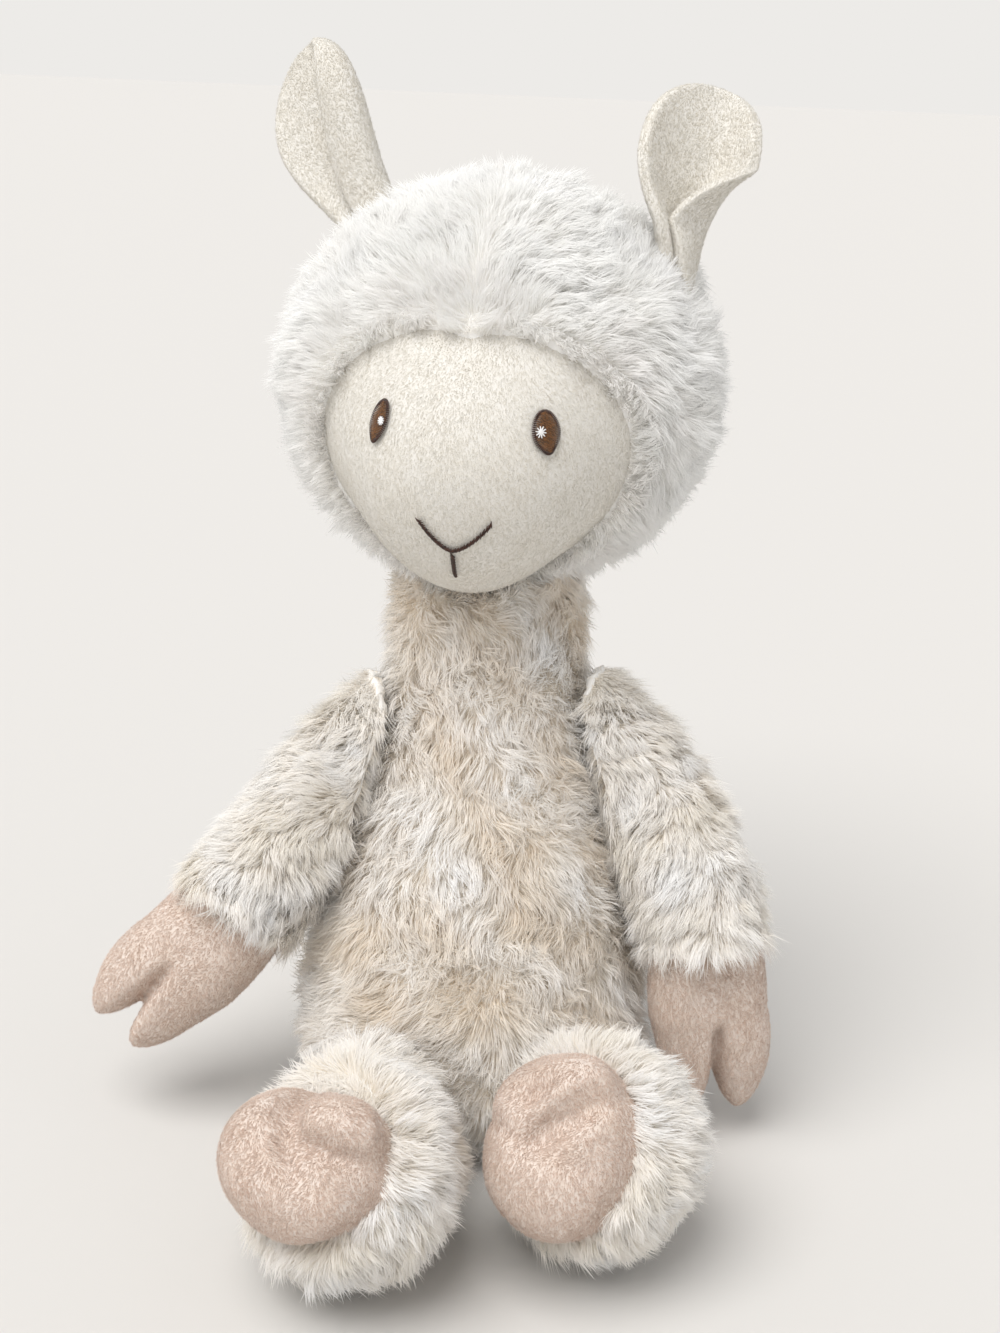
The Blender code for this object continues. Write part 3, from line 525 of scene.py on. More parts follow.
# %% The head's form
LEAN = math.radians(13)
FUR, VELOUR = 6.5 * MM, 2.0 * MM
HEAD_SIZE = np.array([132, 114, 122]) * MM
HEAD_CENTRE = np.array([0.5 * MM, 211 * MM * math.tan(LEAN), 211 * MM])
HEAD_TURN, FACE_PITCH = math.radians(-9.5), math.radians(-14)
FACE_SIDE, FACE_TOP, FACE_BOTTOM = math.radians(51), math.radians(40), math.radians(47)
FRINGE_DIP, FRINGE_WIDTH = math.radians(3), math.radians(11)
MUZZLE_REACH, MUZZLE_PITCH, MUZZLE_BLUNTNESS = 21 * MM, math.radians(-25), 1.35
MUZZLE_SIDE, MUZZLE_UP, MUZZLE_DOWN = math.radians(35), math.radians(37), math.radians(36)
HEAD_MATRIX = np.array(Matrix.Rotation(HEAD_TURN, 3, "Z"))


def head_form(ways):
    """Distance from the head's centre to the stuffed form, for unit directions in the head's own frame."""
    egg = 1 / np.linalg.norm(ways / (HEAD_SIZE / 2 - FUR), axis=-1)
    side = np.arctan2(ways[..., 0], -ways[..., 1])
    over = np.arcsin(np.clip(ways[..., 2], -1, 1)) - MUZZLE_PITCH
    spread = np.where(over > 0, MUZZLE_UP, MUZZLE_DOWN)
    off_middle = (side / MUZZLE_SIDE) ** 2 + (over / spread) ** 2
    return egg + MUZZLE_REACH * np.exp(-(off_middle**MUZZLE_BLUNTNESS))


def from_face_axis(angles, turns):
    x, y, z = np.sin(angles) * np.cos(turns), -np.cos(angles), np.sin(angles) * np.sin(turns)
    c, s = math.cos(FACE_PITCH), math.sin(FACE_PITCH)
    return np.stack([x, y * c + z * s, z * c - y * s], -1)


def face_edge(turns):
    """Angle from the middle of the face to the fur's edge. The fringe dips a little at the top."""
    upright = np.where(np.sin(turns) > 0, FACE_TOP, FACE_BOTTOM)
    oval = 1 / np.hypot(np.cos(turns) / FACE_SIDE, np.sin(turns) / upright)
    from_top = np.remainder(turns - math.pi / 2 + math.pi, 2 * math.pi) - math.pi
    return oval - FRINGE_DIP * np.exp(-((from_top / FRINGE_WIDTH) ** 2))


def head_place(ways, distances):
    """Points in the shared frame from directions in the head's frame."""
    return (ways * distances[..., None]) @ HEAD_MATRIX.T + HEAD_CENTRE


def seen_from_face(points):
    """Angle from the face's axis, the turn about it and the fur's edge at that turn."""
    ways = unit((points - HEAD_CENTRE) @ HEAD_MATRIX)
    c, s = math.cos(FACE_PITCH), math.sin(FACE_PITCH)
    x, y, z = ways[:, 0], ways[:, 1] * c - ways[:, 2] * s, ways[:, 1] * s + ways[:, 2] * c
    turns = np.arctan2(z, x)
    return np.arccos(np.clip(-y, -1, 1)), turns, face_edge(turns)


# %% The hood's backing
hood = round_start("head_fur_backing", 72, 56)
start = points_of(hood)
angles, turns = np.arccos(np.clip(start[:, 2], -1, 1)), np.arctan2(start[:, 1], start[:, 0])
ways = from_face_axis(angles, turns)
inside_face = np.clip((face_edge(turns) - angles) / math.radians(4), 0, 1)
from_edge = np.clip((angles - face_edge(turns)) / math.radians(20), 0, 1)
puff = (2.4 + 0.8 * (1 - from_edge)) * (1 - inside_face) + 0.1 * inside_face
set_points(hood, head_place(ways, head_form(ways) + puff * MM))
face_outwards(hood)
belongs(hood, hood_ground, ["head_fur"])

# %% The face panel
face = round_start("face_velour", 96, 72)
start = points_of(face)
TUCK = 1.07  # the velour runs on under the fur
share = np.arccos(np.clip(np.abs(start[:, 2]), -1, 1)) / (math.pi / 2)
turns = np.arctan2(start[:, 1], start[:, 0])
ways = from_face_axis(share * TUCK * face_edge(turns), turns)
outer = np.where(start[:, 2] > 0.001, VELOUR - 0.7 * MM, 0.5 * MM)
edge = np.clip((share - 0.9) / 0.1, 0, 1)
set_points(face, head_place(ways, head_form(ways) + outer * (1 - edge) + 0.8 * MM * edge))
face_outwards(face)
belongs(face, cream_ground, ["face_panel"])

# %% Nap of the face
def on_shown_face(points, normals):
    angle, _, edge = seen_from_face(points)
    outside = ((points - HEAD_CENTRE) * normals).sum(1) > 0
    return (angle < edge * 1.03) & outside


DOWN = np.array([0.0, 0.0, -1.0])
roots, normals = scatter(face, 64000, on_shown_face)
comb = flat_on(DOWN + 0.5 * waves(roots, 40 * MM, 2)[:, None] * np.array([1.0, 0, 0]), normals)
nap = grow_nap("face_nap", roots, normals, comb, *FACE_NAP)
belongs(nap, cream_nap)

# %% Fur of the hood
FACE_AXIS = head_place(from_face_axis(np.array([0.0]), np.array([0.0])), np.array([1.0]))[0] - HEAD_CENTRE


def on_hood(points, normals):
    angle, _, edge = seen_from_face(points)
    return angle > edge - math.radians(2.6)


def past_rim(points):
    """0 at the face's edge and inside it, and 1 from 16 degrees outside it."""
    angle, _, edge = seen_from_face(points)
    return np.clip((angle - edge) / math.radians(16), 0, 1)


def hood_comb(roots, normals):
    """Away from the face and down, parted at the seam over the head, and standing over the face's edge."""
    side = ((roots - HEAD_CENTRE) @ HEAD_MATRIX)[:, 0]
    away = -FACE_AXIS * 0.8 + DOWN * 0.45
    parted = (np.tanh(side / (3 * MM)) * np.exp(-((side / (12 * MM)) ** 2)))[:, None] * HEAD_MATRIX[:, 0]
    over_edge = np.clip(past_rim(roots) / 0.25, 0, 1)[:, None] * 2 - 1
    swirl = 0.6 * waves(roots, 40 * MM, 3)
    return turned(flat_on(away * over_edge + 0.45 * parted, normals), normals, swirl)


for part, count in HALVES.items():
    roots, normals = scatter(hood, count, half_of(on_hood, part, 0.35))
    from_rim = past_rim(roots)
    lift = 1.1 - 0.6 * from_rim + 0.12 * waves(roots, 25 * MM, 4)
    length = (6.5 + 2.7 * from_rim) * MM
    # painted shade: the tint is deeper near the face's edge, as the shadow where the fur overhangs the
    # velour
    tint = 0.65 + 0.14 * waves(roots, 30 * MM, 6) - 0.3 * (1 - from_rim)
    comb = hood_comb(roots, normals)
    pile = grow_fur("head_fur_pile_" + part, roots, normals, comb, length, lift, tint)
    belongs(pile, hood_pile)

# %% Undercoat of the hood
undercoat("head_fur_undercoat", hood, 90000, on_hood, hood_comb, 5.5 * MM, 0.8, hood_pile)

# %% [markdown]
# ## Body
# The body is one tube of fur cloth over fibre, with a small bag of pellets in its seat. Its solids
# already hold the form, so the skin is a copy of them, remeshed into one closed surface, smoothed, and
# set in by the height of the pile. The fur on it is matted into swirls, and more beige at the belly,
# partly as soiling and partly as painted shade.

# %% The body's backing
body = skin_over("body_fur_backing", ["body_fur", "body_filling", "seat_pellet_bag"], 3 * MM, 4.6 * MM, 10)
raised = points_of(body)
climb = np.clip((raised[:, 2] - 135 * MM) / (20 * MM), 0, 1) ** 2
raised += climb[:, None] * 14 * MM * np.array([0.0, math.tan(LEAN), 1.0])
set_points(body, raised)
belongs(body, body_ground, ["body_fur"])


# %% Fur of the body
def off_spine(points):
    """Distance of each point in front of the spine, and to its side."""
    return points[:, 2] * math.tan(LEAN) - points[:, 1], points[:, 0]


def on_body(points, normals):
    return np.linalg.norm((points - HEAD_CENTRE) / (HEAD_SIZE / 2), axis=1) > 0.76


def body_comb(roots, normals):
    swirl = 1.1 * waves(roots, 52 * MM, 8) + 0.45 * waves(roots, 18 * MM, 9)
    return turned(flat_on(np.broadcast_to(DOWN, roots.shape) + 0.01, normals), normals, swirl)


for part, count in HALVES.items():
    roots, normals = scatter(body, count, half_of(on_body, part, 0.2))
    front, side = off_spine(roots)
    under = np.clip((8 * MM - roots[:, 2]) / (4 * MM), 0, 1)
    matted = np.clip(1.5 * waves(roots, 38 * MM, 13) - 0.2, 0, 1)
    lift = 0.52 + 0.15 * waves(roots, 20 * MM, 10) + 0.25 * matted - 0.4 * under
    off_belly = (side / (26 * MM)) ** 2 + ((roots[:, 2] - 45 * MM) / (25 * MM)) ** 2
    # more beige at the belly: partly soiling and partly painted shade
    belly_soil_and_shade = np.exp(-off_belly) * (front > 0)
    tint = 0.66 + 0.3 * waves(roots, 30 * MM, 12) - 0.25 * belly_soil_and_shade
    length = (9.5 - 2.5 * matted) * MM
    comb = body_comb(roots, normals)
    pile = grow_fur("body_fur_pile_" + part, roots, normals, comb, length, lift, tint, matted)
    belongs(pile, body_pile)

# %% Undercoat of the body
undercoat("body_fur_undercoat", body, 90000, on_body, body_comb, 5.5 * MM, 0.7, body_pile)

# %% [markdown]
# ## Sleeves and hands
# Each sleeve is a tube of the same fur, and the velour mitt is sewn into its end. The mitt is drawn out
# of a sphere, two lobes with a cleft between them, then swelled a little with cloth pressure, which
# rounds it as stuffing does. The fur is combed down the sleeve and hangs over the mitt's seam.


# %% Where the limbs run
def spine(height):
    return np.array([0.0, height * math.tan(LEAN), height])


SHOULDERS = {name: spine(126 * MM) + (hand * 10.7 * MM, 0, 0) for name, hand in SIDES.items()}
ELBOWS = {"right": np.array([-34, -16, -26]) * MM, "left": np.array([46, -16, -18]) * MM}
WRISTS = {"right": np.array([-61, -37, -66]) * MM, "left": np.array([57, -36, -71]) * MM}
HAND_WAYS = {"right": (-0.69, -0.14, -0.71), "left": (0.09, -0.12, -0.98)}
HAND_LOBES = {"right": (-0.55, 0.35, 0.60), "left": (0.97, 0.20, 0.05)}
FEET = {"right": np.array([-27, -92, 30.4]) * MM, "left": np.array([37.7, -75, 30.4]) * MM}
HOOF_WAYS = {"right": (-0.60, -0.52, 0.61), "left": (-0.69, -0.56, 0.46)}
HOOF_LOBES = {"right": (-0.80, 0.50, -0.20), "left": (0.25, 0.27, 0.84)}
HOOF_LENGTH, HOOF_WIDTH, HOOF_DEPTHS = 20 * MM, 47 * MM, {"right": 37 * MM, "left": 43 * MM}
HOOF_AHEAD = 17 * MM
HAND_SIZE, HAND_AHEAD = (36 * MM, 37 * MM, 26 * MM), 14 * MM  # length, width and depth
LIMB_SKIN = (2.5 * MM, 4.4 * MM, 8)  # voxel, inset under the pile and rounds of smoothing
BODY_HEIGHTS, BODY_HALVES = np.array([0, 36, 88, 124, 168]) * MM, np.array([44, 52, 41, 33, 29]) * MM


def arm_line(name, shares):
    """Points on the sleeve's middle line and its way there."""
    start, shares = SHOULDERS[name], np.asarray(shares)[:, None]
    elbow, wrist = start + ELBOWS[name], start + WRISTS[name]
    at = (1 - shares) ** 2 * start + 2 * shares * (1 - shares) * elbow + shares**2 * wrist
    return at, unit(2 * (1 - shares) * (elbow - start) + 2 * shares * (wrist - elbow))


def inside_body(points):
    """True where a point is so deep in the body that nothing growing there would be seen."""
    front, side = off_spine(points)
    return np.hypot(front / 0.93, side) < np.interp(points[:, 2], BODY_HEIGHTS, BODY_HALVES) - 13 * MM


# %% Mitts
def mitt_axes(way, lobe):
    """A mitt's own axes: across its lobes, through its depth and out to its tip."""
    way = unit(way)
    lobe = unit(np.asarray(lobe) - np.dot(lobe, way) * way)
    return np.stack([lobe, np.cross(way, lobe), way])


def cloven(ways, size, cleft, toe):
    """Distance to a two-lobed mitt for directions along its own axes."""
    x, y, z = ways[:, 0], ways[:, 1], ways[:, 2]
    length, width, depth = size
    power = 2.3
    egg = np.abs(2 * x / width) ** power + np.abs(2 * y / depth) ** power + np.abs(z / length) ** power
    front = np.clip((z - 0.15) / 0.6, 0, 1)
    notch = cleft * np.exp(-((x / 0.12) ** 2)) * front * front * (3 - 2 * front)
    return egg ** (-1 / power) * (1 - notch) * (1 + toe * x * front)


def swell(piece, voxel, pressure, cap):
    """Presses a closed piece out like stuffing, with no point moving further than the cap."""
    apply_modifier(piece, "REMESH", mode="VOXEL", voxel_size=voxel, use_smooth_shade=True)
    before = points_of(piece)
    cloth = piece.modifiers.new("cloth", "CLOTH")
    cloth.settings.quality = 6
    cloth.settings.use_pressure = True
    cloth.settings.uniform_pressure_force = pressure
    cloth.settings.effector_weights.gravity = 0
    for step in range(1, 15):
        bpy.context.scene.frame_set(step)
    moved = points_of(piece.evaluated_get(bpy.context.evaluated_depsgraph_get())) - before
    reach = np.linalg.norm(moved, axis=1, keepdims=True)
    piece.modifiers.remove(cloth)
    bpy.context.scene.frame_set(1)
    set_points(piece, before + moved * np.minimum(1, cap / np.maximum(reach, 1e-9)))


def dented(start, reach, size, dents):
    """Pushes places on a mitt's front out or in, but in by no more than 3.5 mm."""
    deepest = reach - 3.5 * MM
    across = start[:, :2] * reach[:, None] / (np.array(size[1:]) / 2)
    front = np.clip(3 * start[:, 2], 0, 1)
    for place, turn, long, short, height in dents:
        c, s = math.cos(math.radians(turn)), math.sin(math.radians(turn))
        off = across - place
        along, aside = off[:, 0] * c + off[:, 1] * s, off[:, 1] * c - off[:, 0] * s
        reach = reach + height * front * np.exp(-(((along / long) ** 2 + (aside / short) ** 2) ** 1.5))
    return np.maximum(reach, deepest)


def mitt(name, centre, axes, size, cleft, toe, dents=()):
    """A stuffed mitt round a point, a nap's height smaller than its size."""
    piece = round_start(name, 64, 48)
    start = unit(points_of(piece))
    reach = dented(start, cloven(start, size, cleft, toe) - 1.0 * MM, size, dents)
    set_points(piece, centre + (start * reach[:, None]) @ axes)
    face_outwards(piece)
    swell(piece, 1.3 * MM, 4, 0.8 * MM)
    piece.data.shade_smooth()
    return piece


def mitt_nap(name, skin, place, way, brushed, swirl):
    """Nap over what shows of a mitt, from 6 mm behind its opening."""

    def shown(points, normals):
        return (points - place) @ way > -6 * MM

    velour_nap(name, skin, 32000, shown, brushed, swirl, MITT_NAP, peach_nap)


# %% Hands
for name in SIDES:
    wrist, along = arm_line(name, [1.0])
    axes = mitt_axes(HAND_WAYS[name], HAND_LOBES[name])
    hand = mitt("hand_velour_" + name, wrist[0] + axes[2] * HAND_AHEAD, axes, HAND_SIZE, 0.5, 0.12)
    belongs(hand, peach_ground, ["hand_" + name])
    mitt_nap("hand_nap_" + name, hand, wrist[0], along[0], axes[2], (0.6, 12 * MM, 14))

# %% Sleeves
for name in SIDES:
    solids = ["arm_fur_" + name, "arm_filling_" + name]
    sleeve = skin_over("arm_fur_backing_" + name, solids, *LIMB_SKIN)
    shares = np.linspace(0, 1, 30)
    line, ways = arm_line(name, shares)
    wrist, wrist_way = line[-1], ways[-1]
    raised = points_of(sleeve)
    at = nearest(raised, line)
    middle = line[at]
    near_neck = np.clip(1 - shares[at] / 0.35, 0, 1)[:, None]
    sunk = middle + (raised - middle) * (1 - 0.2 * near_neck)
    set_points(sleeve, sunk + near_neck * np.array([-1 * SIDES[name], 0, 3]) * MM)
    belongs(sleeve, hood_ground, solids)

    def on_sleeve(points, normals):
        past = (points - wrist) @ wrist_way
        return (past < 1 * MM) & ~inside_body(points)

    def sleeve_comb(roots, normals):
        at = nearest(roots, line)
        towards = np.array([-SIDES[name], -0.3, 0.2])
        inner = np.clip(normals @ towards, 0, 1) * np.clip(1 - shares[at] / 0.45, 0, 1)
        swirl = 0.55 * waves(roots, 34 * MM, 16) + 0.25 * waves(roots, 14 * MM, 17)
        comb = flat_on(ways[at] + 0.35 * DOWN + 1.5 * inner[:, None] * towards, normals)
        return turned(comb, normals, swirl)

    roots, normals = scatter(sleeve, 44000, on_sleeve)
    near_cuff = np.clip(shares[nearest(roots, line)] * 4 - 3, 0, 1)
    lift = 0.62 - 0.18 * near_cuff + 0.12 * waves(roots, 18 * MM, 18)
    length = (8.5 + 1.5 * near_cuff) * MM
    tint = 0.66 + 0.18 * waves(roots, 24 * MM, 19)
    comb = sleeve_comb(roots, normals)
    pile = grow_fur("arm_fur_pile_" + name, roots, normals, comb, length, lift, tint)
    belongs(pile, limb_pile)
    under = "arm_fur_undercoat_" + name
    undercoat(under, sleeve, 36000, on_sleeve, sleeve_comb, 5 * MM, 0.75, limb_pile)

# %% [markdown]
# ## Legs and hooves
# The legs end in round feet that face the viewer, each with a velour hoof set in its front. The fur is
# combed away from the hoof, so the hoof's edge shows.

# %% Toes and creases of the hooves
# place in half widths, turn in degrees, length and width in half widths, height
HOOF_DENTS = {
    "right": (
        ((-0.75, -0.48), 0, 0.42, 0.38, 5.0 * MM),
        ((0.22, 0.05), 0, 0.40, 0.60, 4.0 * MM),
        ((-0.35, 0.75), 0, 0.60, 0.50, 4.0 * MM),
        ((-0.18, -0.34), 112, 0.72, 0.15, -7.0 * MM),
        ((-0.58, -0.07), 173, 0.34, 0.13, -7.0 * MM),
    ),
    "left": (
        ((0.71, -0.30), 0, 0.36, 0.45, 5.0 * MM),
        ((0.25, 0.30), 0, 0.40, 0.40, 2.5 * MM),
        ((-0.42, -0.30), 0, 0.50, 0.70, 4.0 * MM),
        ((0.34, -0.42), 149, 0.44, 0.16, -8.0 * MM),
        ((0.50, -0.02), 137, 0.24, 0.12, -5.0 * MM),
    ),
}

# %% Hooves
for name in SIDES:
    axes = mitt_axes(HOOF_WAYS[name], HOOF_LOBES[name])
    opening = FEET[name] + axes[2] * HOOF_AHEAD
    size = (HOOF_LENGTH, HOOF_WIDTH, HOOF_DEPTHS[name])
    hoof = mitt("hoof_velour_" + name, opening, axes, size, 0.06, 0.05, HOOF_DENTS[name])
    belongs(hoof, peach_ground, ["hoof_" + name])
    mitt_nap("hoof_nap_" + name, hoof, opening, axes[2], DOWN, (0.7, 12 * MM, 21))

# %% Legs
for name in SIDES:
    solids = ["leg_fur_" + name, "leg_filling_" + name]
    leg = skin_over("leg_fur_backing_" + name, solids, *LIMB_SKIN)
    belongs(leg, hood_ground, solids)
    foot = FEET[name]
    lobe, flat, way = mitt_axes(HOOF_WAYS[name], HOOF_LOBES[name])

    def under_hoof(points):
        """Over 0 where a point lies behind the hoof, and 1 at the middle of it."""
        off = points - foot
        aside = np.hypot(off @ lobe / (HOOF_WIDTH / 2), off @ flat / (HOOF_DEPTHS[name] / 2))
        return np.clip(1 - aside, 0, 1) * (off @ way > 5 * MM)

    def on_leg(points, normals):
        return (under_hoof(points) < 0.45) & ~inside_body(points)

    def leg_comb(roots, normals):
        swirl = 0.3 * waves(roots, 34 * MM, 23) + 0.15 * waves(roots, 14 * MM, 24)
        return turned(flat_on(-way + 0.35 * DOWN + 0 * roots, normals), normals, swirl)

    roots, normals = scatter(leg, 44000, on_leg)
    ahead = unit(roots - foot) @ way
    near_hoof = np.clip((ahead - 0.1) / 0.5, 0, 1) * (np.linalg.norm(roots - foot, axis=1) < 36 * MM)
    under = np.clip((8 * MM - roots[:, 2]) / (4 * MM), 0, 1)
    lift = 0.52 + 0.12 * waves(roots, 18 * MM, 25) - 0.4 * under
    tint = 0.70 + 0.16 * waves(roots, 24 * MM, 26)
    length = (9.0 - 0.5 * near_hoof) * MM
    comb = leg_comb(roots, normals)
    pile = grow_fur("leg_fur_pile_" + name, roots, normals, comb, length, lift, tint)
    belongs(pile, limb_pile)
    under = "leg_fur_undercoat_" + name
    undercoat(under, leg, 40000, on_leg, leg_comb, 5 * MM, 0.75, limb_pile)

# %% [markdown]
# ## Ears
# An ear is two leaves of velour round a thin pad. One long edge is folded forwards over the hollow, along
# nearly its whole length on the right ear and only near its base on the left one. Each ring of a sphere
# is laid on a strip that bends where the fold is, which gives a closed pad with a round rim.

# %% Ear form
EAR_LENGTH, EAR_WIDTH, EAR_BASE_WIDTH, EAR_PAD = 62.5 * MM, 44 * MM, 26 * MM, 2.8 * MM
EAR_WIDEST, EAR_SINK = 0.6, 11 * MM
EAR_CURLS = {"right": (61, 17), "left": (55, 41)}  # degrees at the base and the tip
EAR_FOLDS = {"right": (157, 150), "left": (157, 45)}
FOLD_PLACES = {"right": (0.173, 0.726), "left": (0.023, 0.394)}  # shares of the half width
FOLD_OPENS = {"right": 0.6, "left": 0.315}  # share of the length from which the fold opens
FOLD_REACH = 3.75 * MM
EAR_CUPS = {"right": 1.2 * MM, "left": 2.6 * MM}
EAR_SIDES = {"right": math.radians(38), "left": math.radians(61.6)}
EAR_LEAN = math.radians(-17)
EAR_TILTS = {"right": math.radians(32), "left": math.radians(7.4)}
EAR_TWISTS = {"right": math.radians(19), "left": math.radians(-19)}


def ear_strip(name, share):
    """Places and headings across the ear's middle sheet at one share of its length."""
    widening = min(share / EAR_WIDEST, 1)
    widening = widening**2 * (3 - 2 * widening)
    rounding = max((share - EAR_WIDEST) / (1 - EAR_WIDEST), 0)
    width = EAR_BASE_WIDTH + (EAR_WIDTH - EAR_BASE_WIDTH) * widening
    half = width / 2 * math.sqrt(max(1 - rounding**2, 1e-6))
    across = np.linspace(-half, half, 201)
    opened = np.clip((share - FOLD_OPENS[name]) / 0.3, 0, 1)
    place = half * np.interp(share, (0, 1), FOLD_PLACES[name])
    bend = math.radians(np.interp(opened, (0, 1), EAR_FOLDS[name]))
    fold = bend / 2 * np.tanh((across - place) / FOLD_REACH)
    curl = math.radians(np.interp(share, (0, 1), EAR_CURLS[name]))
    heading = curl * across / (EAR_WIDTH / 2) + fold - np.interp(0, across, fold)
    step = across[1] - across[0]
    x, y = np.cumsum(np.cos(heading)) * step, -np.cumsum(np.sin(heading)) * step
    cup = EAR_CUPS[name] * math.sin(math.pi * share)
    return across / half, x - np.interp(0, across, x), y - np.interp(0, across, y) - cup, heading


def ear_points(name, start):
    """Points of the folded pad from points on a sphere whose poles are its base and tip."""
    points = np.empty_like(start)
    shares = np.round((1 + start[:, 2]) / 2, 6)
    round_part = np.maximum(np.hypot(start[:, 0], start[:, 1]), 1e-6)
    across, out = start[:, 0] / round_part, start[:, 1] / round_part
    for share in np.unique(shares):
        ring = shares == share
        places, *sheet = ear_strip(name, share)
        x, y, heading = (np.interp(across[ring], places, values) for values in sheet)
        rim = np.sign(out[ring]) * np.abs(out[ring]) ** 0.35
        lift = EAR_PAD * math.sqrt(1 - 0.75 * share**8) * rim * (0.001 < share < 0.999)
        points[ring, 0], points[ring, 1] = x + lift * np.sin(heading), y + lift * np.cos(heading)
        points[ring, 2] = share * EAR_LENGTH
    return points


# %% Both ears
for name, hand in SIDES.items():
    ear = round_start("ear_velour_" + name, 160, 64)
    way = np.array([hand * math.sin(EAR_SIDES[name]), 0, math.cos(EAR_SIDES[name])])
    root = way * (head_form(way) + FUR - EAR_SINK)
    lean = Matrix.Rotation(hand * EAR_TILTS[name], 3, "Y") @ Matrix.Rotation(EAR_LEAN, 3, "X")
    lean = np.array(lean @ Matrix.Rotation(-EAR_TWISTS[name], 3, "Z"))
    set_points(ear, (ear_points(name, points_of(ear)) @ lean.T + root) @ HEAD_MATRIX.T + HEAD_CENTRE)
    face_outwards(ear)
    belongs(ear, cream_ground, ["ear_" + name])
    up = HEAD_MATRIX @ lean @ np.array([0.0, 0.0, 1.0])
    swirl = (0.5, 16 * MM, 31)
    velour_nap("ear_nap_" + name, ear, 44000, None, up, swirl, EAR_NAP, cream_nap)

# %% [markdown]
# ## Embroidery
# A satin-stitched oval is many parallel threads laid side by side, so each eye is made of such threads,
# with a ring of darker stitches round it and a few white ones for the glint.


# %% Places on the face
def on_face(side, pitch, lift):
    """Points over the velour at a side angle and a pitch seen from the head's centre."""
    side, pitch = np.asarray(side, float), np.asarray(pitch, float)
    ways = np.stack([np.sin(side) * np.cos(pitch), -np.cos(side) * np.cos(pitch), np.sin(pitch)], -1)
    return head_place(ways, head_form(ways) + VELOUR + lift)


def stitched(name, paths, radius, finish, nodes=()):
    """Threads along paths of points, each a round tube that thins at its ends."""
    deselect()
    curve = bpy.data.curves.new(name, "CURVE")
    curve.dimensions = "3D"
    curve.bevel_depth = radius
    curve.bevel_resolution = 1
    curve.use_fill_caps = True
    for path in paths:
        line = curve.splines.new("POLY")
        line.points.add(len(path) - 1)
        thickness = np.sin(np.linspace(0.35, math.pi - 0.35, len(path))) ** 0.5
        for point, place, share in zip(line.points, path, thickness):
            point.co = (*place, 1)
            point.radius = share
    piece = bpy.data.objects.new(name, curve)
    bpy.context.scene.collection.objects.link(piece)
    only(piece)
    bpy.ops.object.convert(target="MESH")
    piece = bpy.context.object
    piece.data.shade_smooth()
    belongs(piece, finish, nodes)


# %% Eyes
EYE_SIDES = {"left": math.radians(21), "right": math.radians(19.8)}
EYE_WIDTHS = {"left": 8.0 * MM, "right": 6.0 * MM}
EYE_PITCH, EYE_SLANT, EYE_HEIGHT = math.radians(-2.2), math.radians(9), 11.2 * MM
THREAD = 0.42 * MM


def eye_half_width(name, up):
    """Half width of the eye at a height: round above and drawn to a point below."""
    share = np.clip(2 * up / EYE_HEIGHT, -1, 1)
    return EYE_WIDTHS[name] / 2 * np.sqrt(1 - share**2) * np.where(share < 0, 1 - 0.35 * share**2, 1)


def eye_place(name, across, up, lift):
    hand = SIDES[name]
    c, s = math.cos(hand * EYE_SLANT), math.sin(hand * EYE_SLANT)
    a, u = across * c - up * s, across * s + up * c
    reach = 66 * MM
    return on_face(hand * EYE_SIDES[name] + a / reach, EYE_PITCH + u / reach, lift)


for name, hand in SIDES.items():
    rows = np.arange(-EYE_HEIGHT / 2 + 0.6 * MM, EYE_HEIGHT / 2 - 0.5 * MM, THREAD)
    paths = []
    for up in rows:
        half = float(eye_half_width(name, up)) - 0.5 * MM
        if half > 0.4 * MM:
            across = np.linspace(-half, half, 9)
            dome = 0.55 * MM * np.sqrt(1 - (across / (half * 1.05)) ** 2)
            paths.append(eye_place(name, across, up + 0.1 * across, dome + 0.15 * MM))
    stitched("eye_threads_" + name, paths, THREAD * 0.5, brown_thread, ["eye_" + name])
    ring = []
    steps, arch = np.linspace(0.3, -0.9, 5), 0.3 * MM * (1 + np.sin(np.linspace(0, math.pi, 5)))
    for turn in np.linspace(0, 2 * math.pi, 66, endpoint=False):
        up = EYE_HEIGHT / 2 * math.sin(turn)
        across = math.copysign(float(eye_half_width(name, up)), math.cos(turn))
        out = np.array([math.cos(turn) / EYE_WIDTHS[name], math.sin(turn) / EYE_HEIGHT])
        out = out / np.linalg.norm(out) * 0.9 * MM
        ring.append(eye_place(name, across + out[0] * steps, up + out[1] * steps, arch))
    stitched("eye_outline_" + name, ring, THREAD * 0.5, dark_thread)
    glint = []
    reach = 0.19 * EYE_WIDTHS[name] * np.linspace(-1, 1, 5)
    for turn in np.linspace(0.3, math.pi + 0.3, 5, endpoint=False):
        across = reach * math.cos(turn) - 0.22 * EYE_WIDTHS[name] * hand
        glint.append(eye_place(name, across, reach * math.sin(turn) + 0.5 * MM, 1.1 * MM))
    solids = ["eye_glint_" + name]
    stitched("eye_glint_threads_" + name, glint, THREAD * 0.6, white_thread, solids)

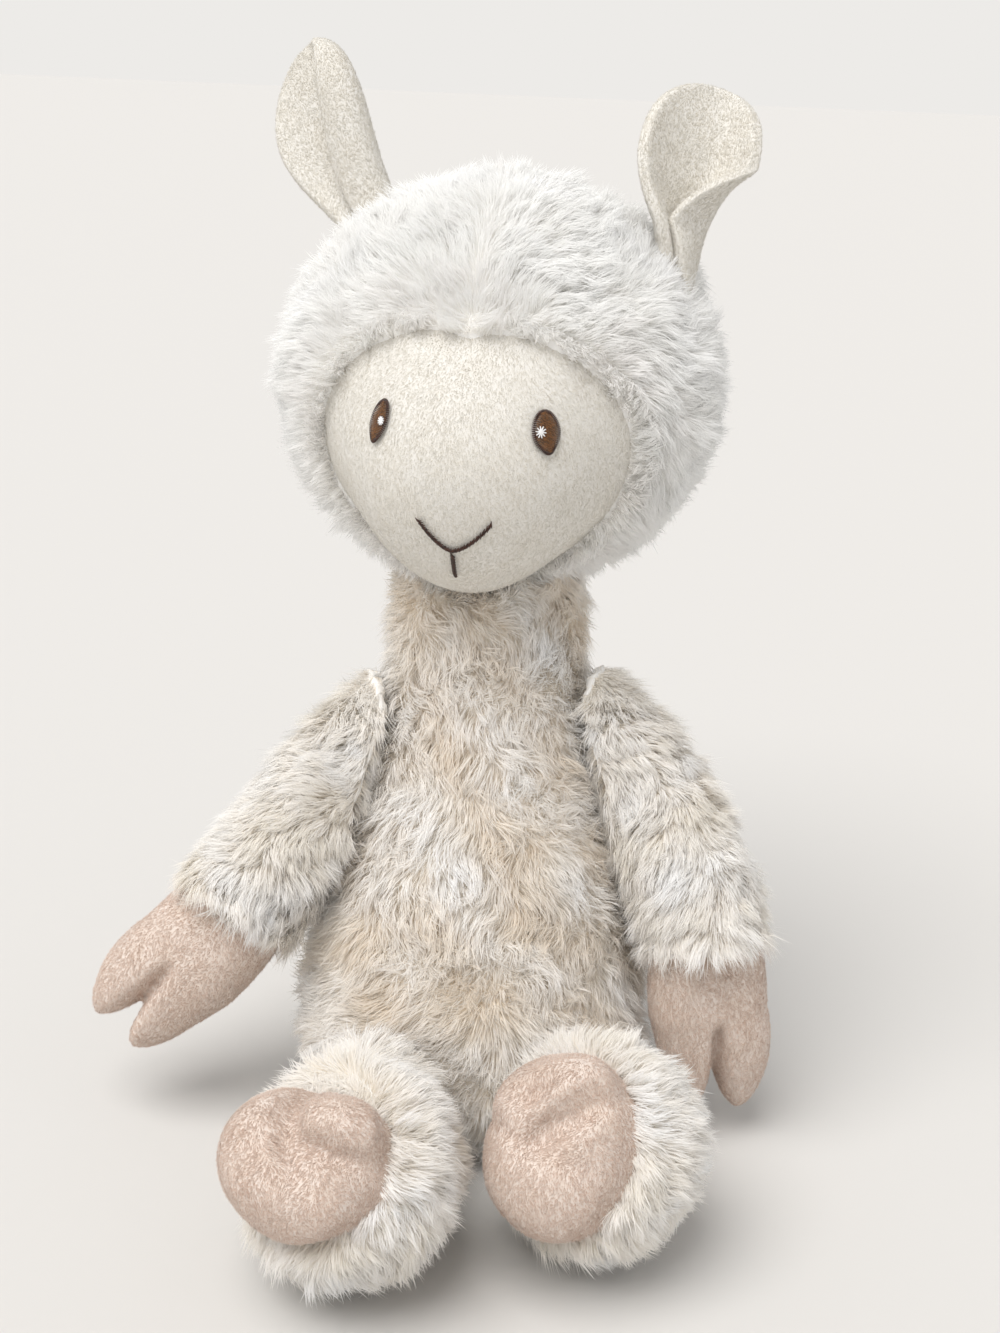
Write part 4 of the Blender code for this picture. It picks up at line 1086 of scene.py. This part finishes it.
# %% Mouth
MOUTH_PITCH, MOUTH_HALF, MOUTH_RISE, LIP = math.radians(-28.3), 10.5 * MM, 10 * MM, 10 * MM
REACH = 78 * MM  # about how far the velour is from the head's centre at the mouth
STITCH_HALF, STITCH_RISE = 0.62 * MM, 0.5 * MM


def slanted_stitches(side, pitch):
    """Short stitches laid across a line, each leaning along it, like a cord of satin stitch."""
    paths = []
    for i in range(len(side) - 2):
        step = np.array([side[i + 2] - side[i], pitch[i + 2] - pitch[i]])
        step = step / np.linalg.norm(step)
        across = np.array([-step[1], step[0]])
        wide = STITCH_HALF * (1 + 0.3 * math.sin(2.4 * i))
        ends = np.linspace(-1, 1, 5)[:, None] * (across * wide + step * STITCH_HALF * 1.3) / REACH
        arch = STITCH_RISE * np.sin(np.linspace(0.2, math.pi - 0.2, 5))
        paths.append(on_face(side[i + 1] + ends[:, 0], pitch[i + 1] + ends[:, 1], arch))
    return paths


shares = np.linspace(-1, 1, 64)
across = MOUTH_HALF * shares * np.where(shares > 0, 1.2, 1) / REACH
smile = slanted_stitches(across, MOUTH_PITCH + MOUTH_RISE * np.abs(shares) ** 1.6 / REACH)
stitched("mouth_threads", smile, THREAD * 0.5, dark_thread, ["mouth_stitching"])
shares = np.linspace(0, 1, 26)
lip = slanted_stitches(0 * shares, MOUTH_PITCH - (1.0 * MM + LIP * shares) / REACH)
stitched("lip_threads", lip, THREAD * 0.5, dark_thread, ["lip_stitching"])

# %% [markdown]
# ## Inside
# The filling of the head and body and the pellet bag can't be seen. They stay as they are in the frame.
# The sleeves and legs stand for their own filling. All of it gets the finish of loose fibre, and the
# bag that of plain cloth.

# %% Filling and bag
for node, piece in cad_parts.items():
    if "filling" in node or node == "seat_pellet_bag":
        inner = bag_cloth if node == "seat_pellet_bag" else loose_fibre
        for i in range(len(piece.material_slots)):
            piece.material_slots[i].material = inner

# %% [markdown]
# ## Sizes and the end
# The fur may stand a little proud of the solids. Both boxes are printed, so that they can be compared.

# %% Print the sizes and finish
deselect()
seen_box = [list(corner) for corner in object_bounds()]
for corner, seen in zip(cad_box, seen_box):
    print("solids", [round(v * 1000, 1) for v in corner], "scene", [round(v * 1000, 1) for v in seen])
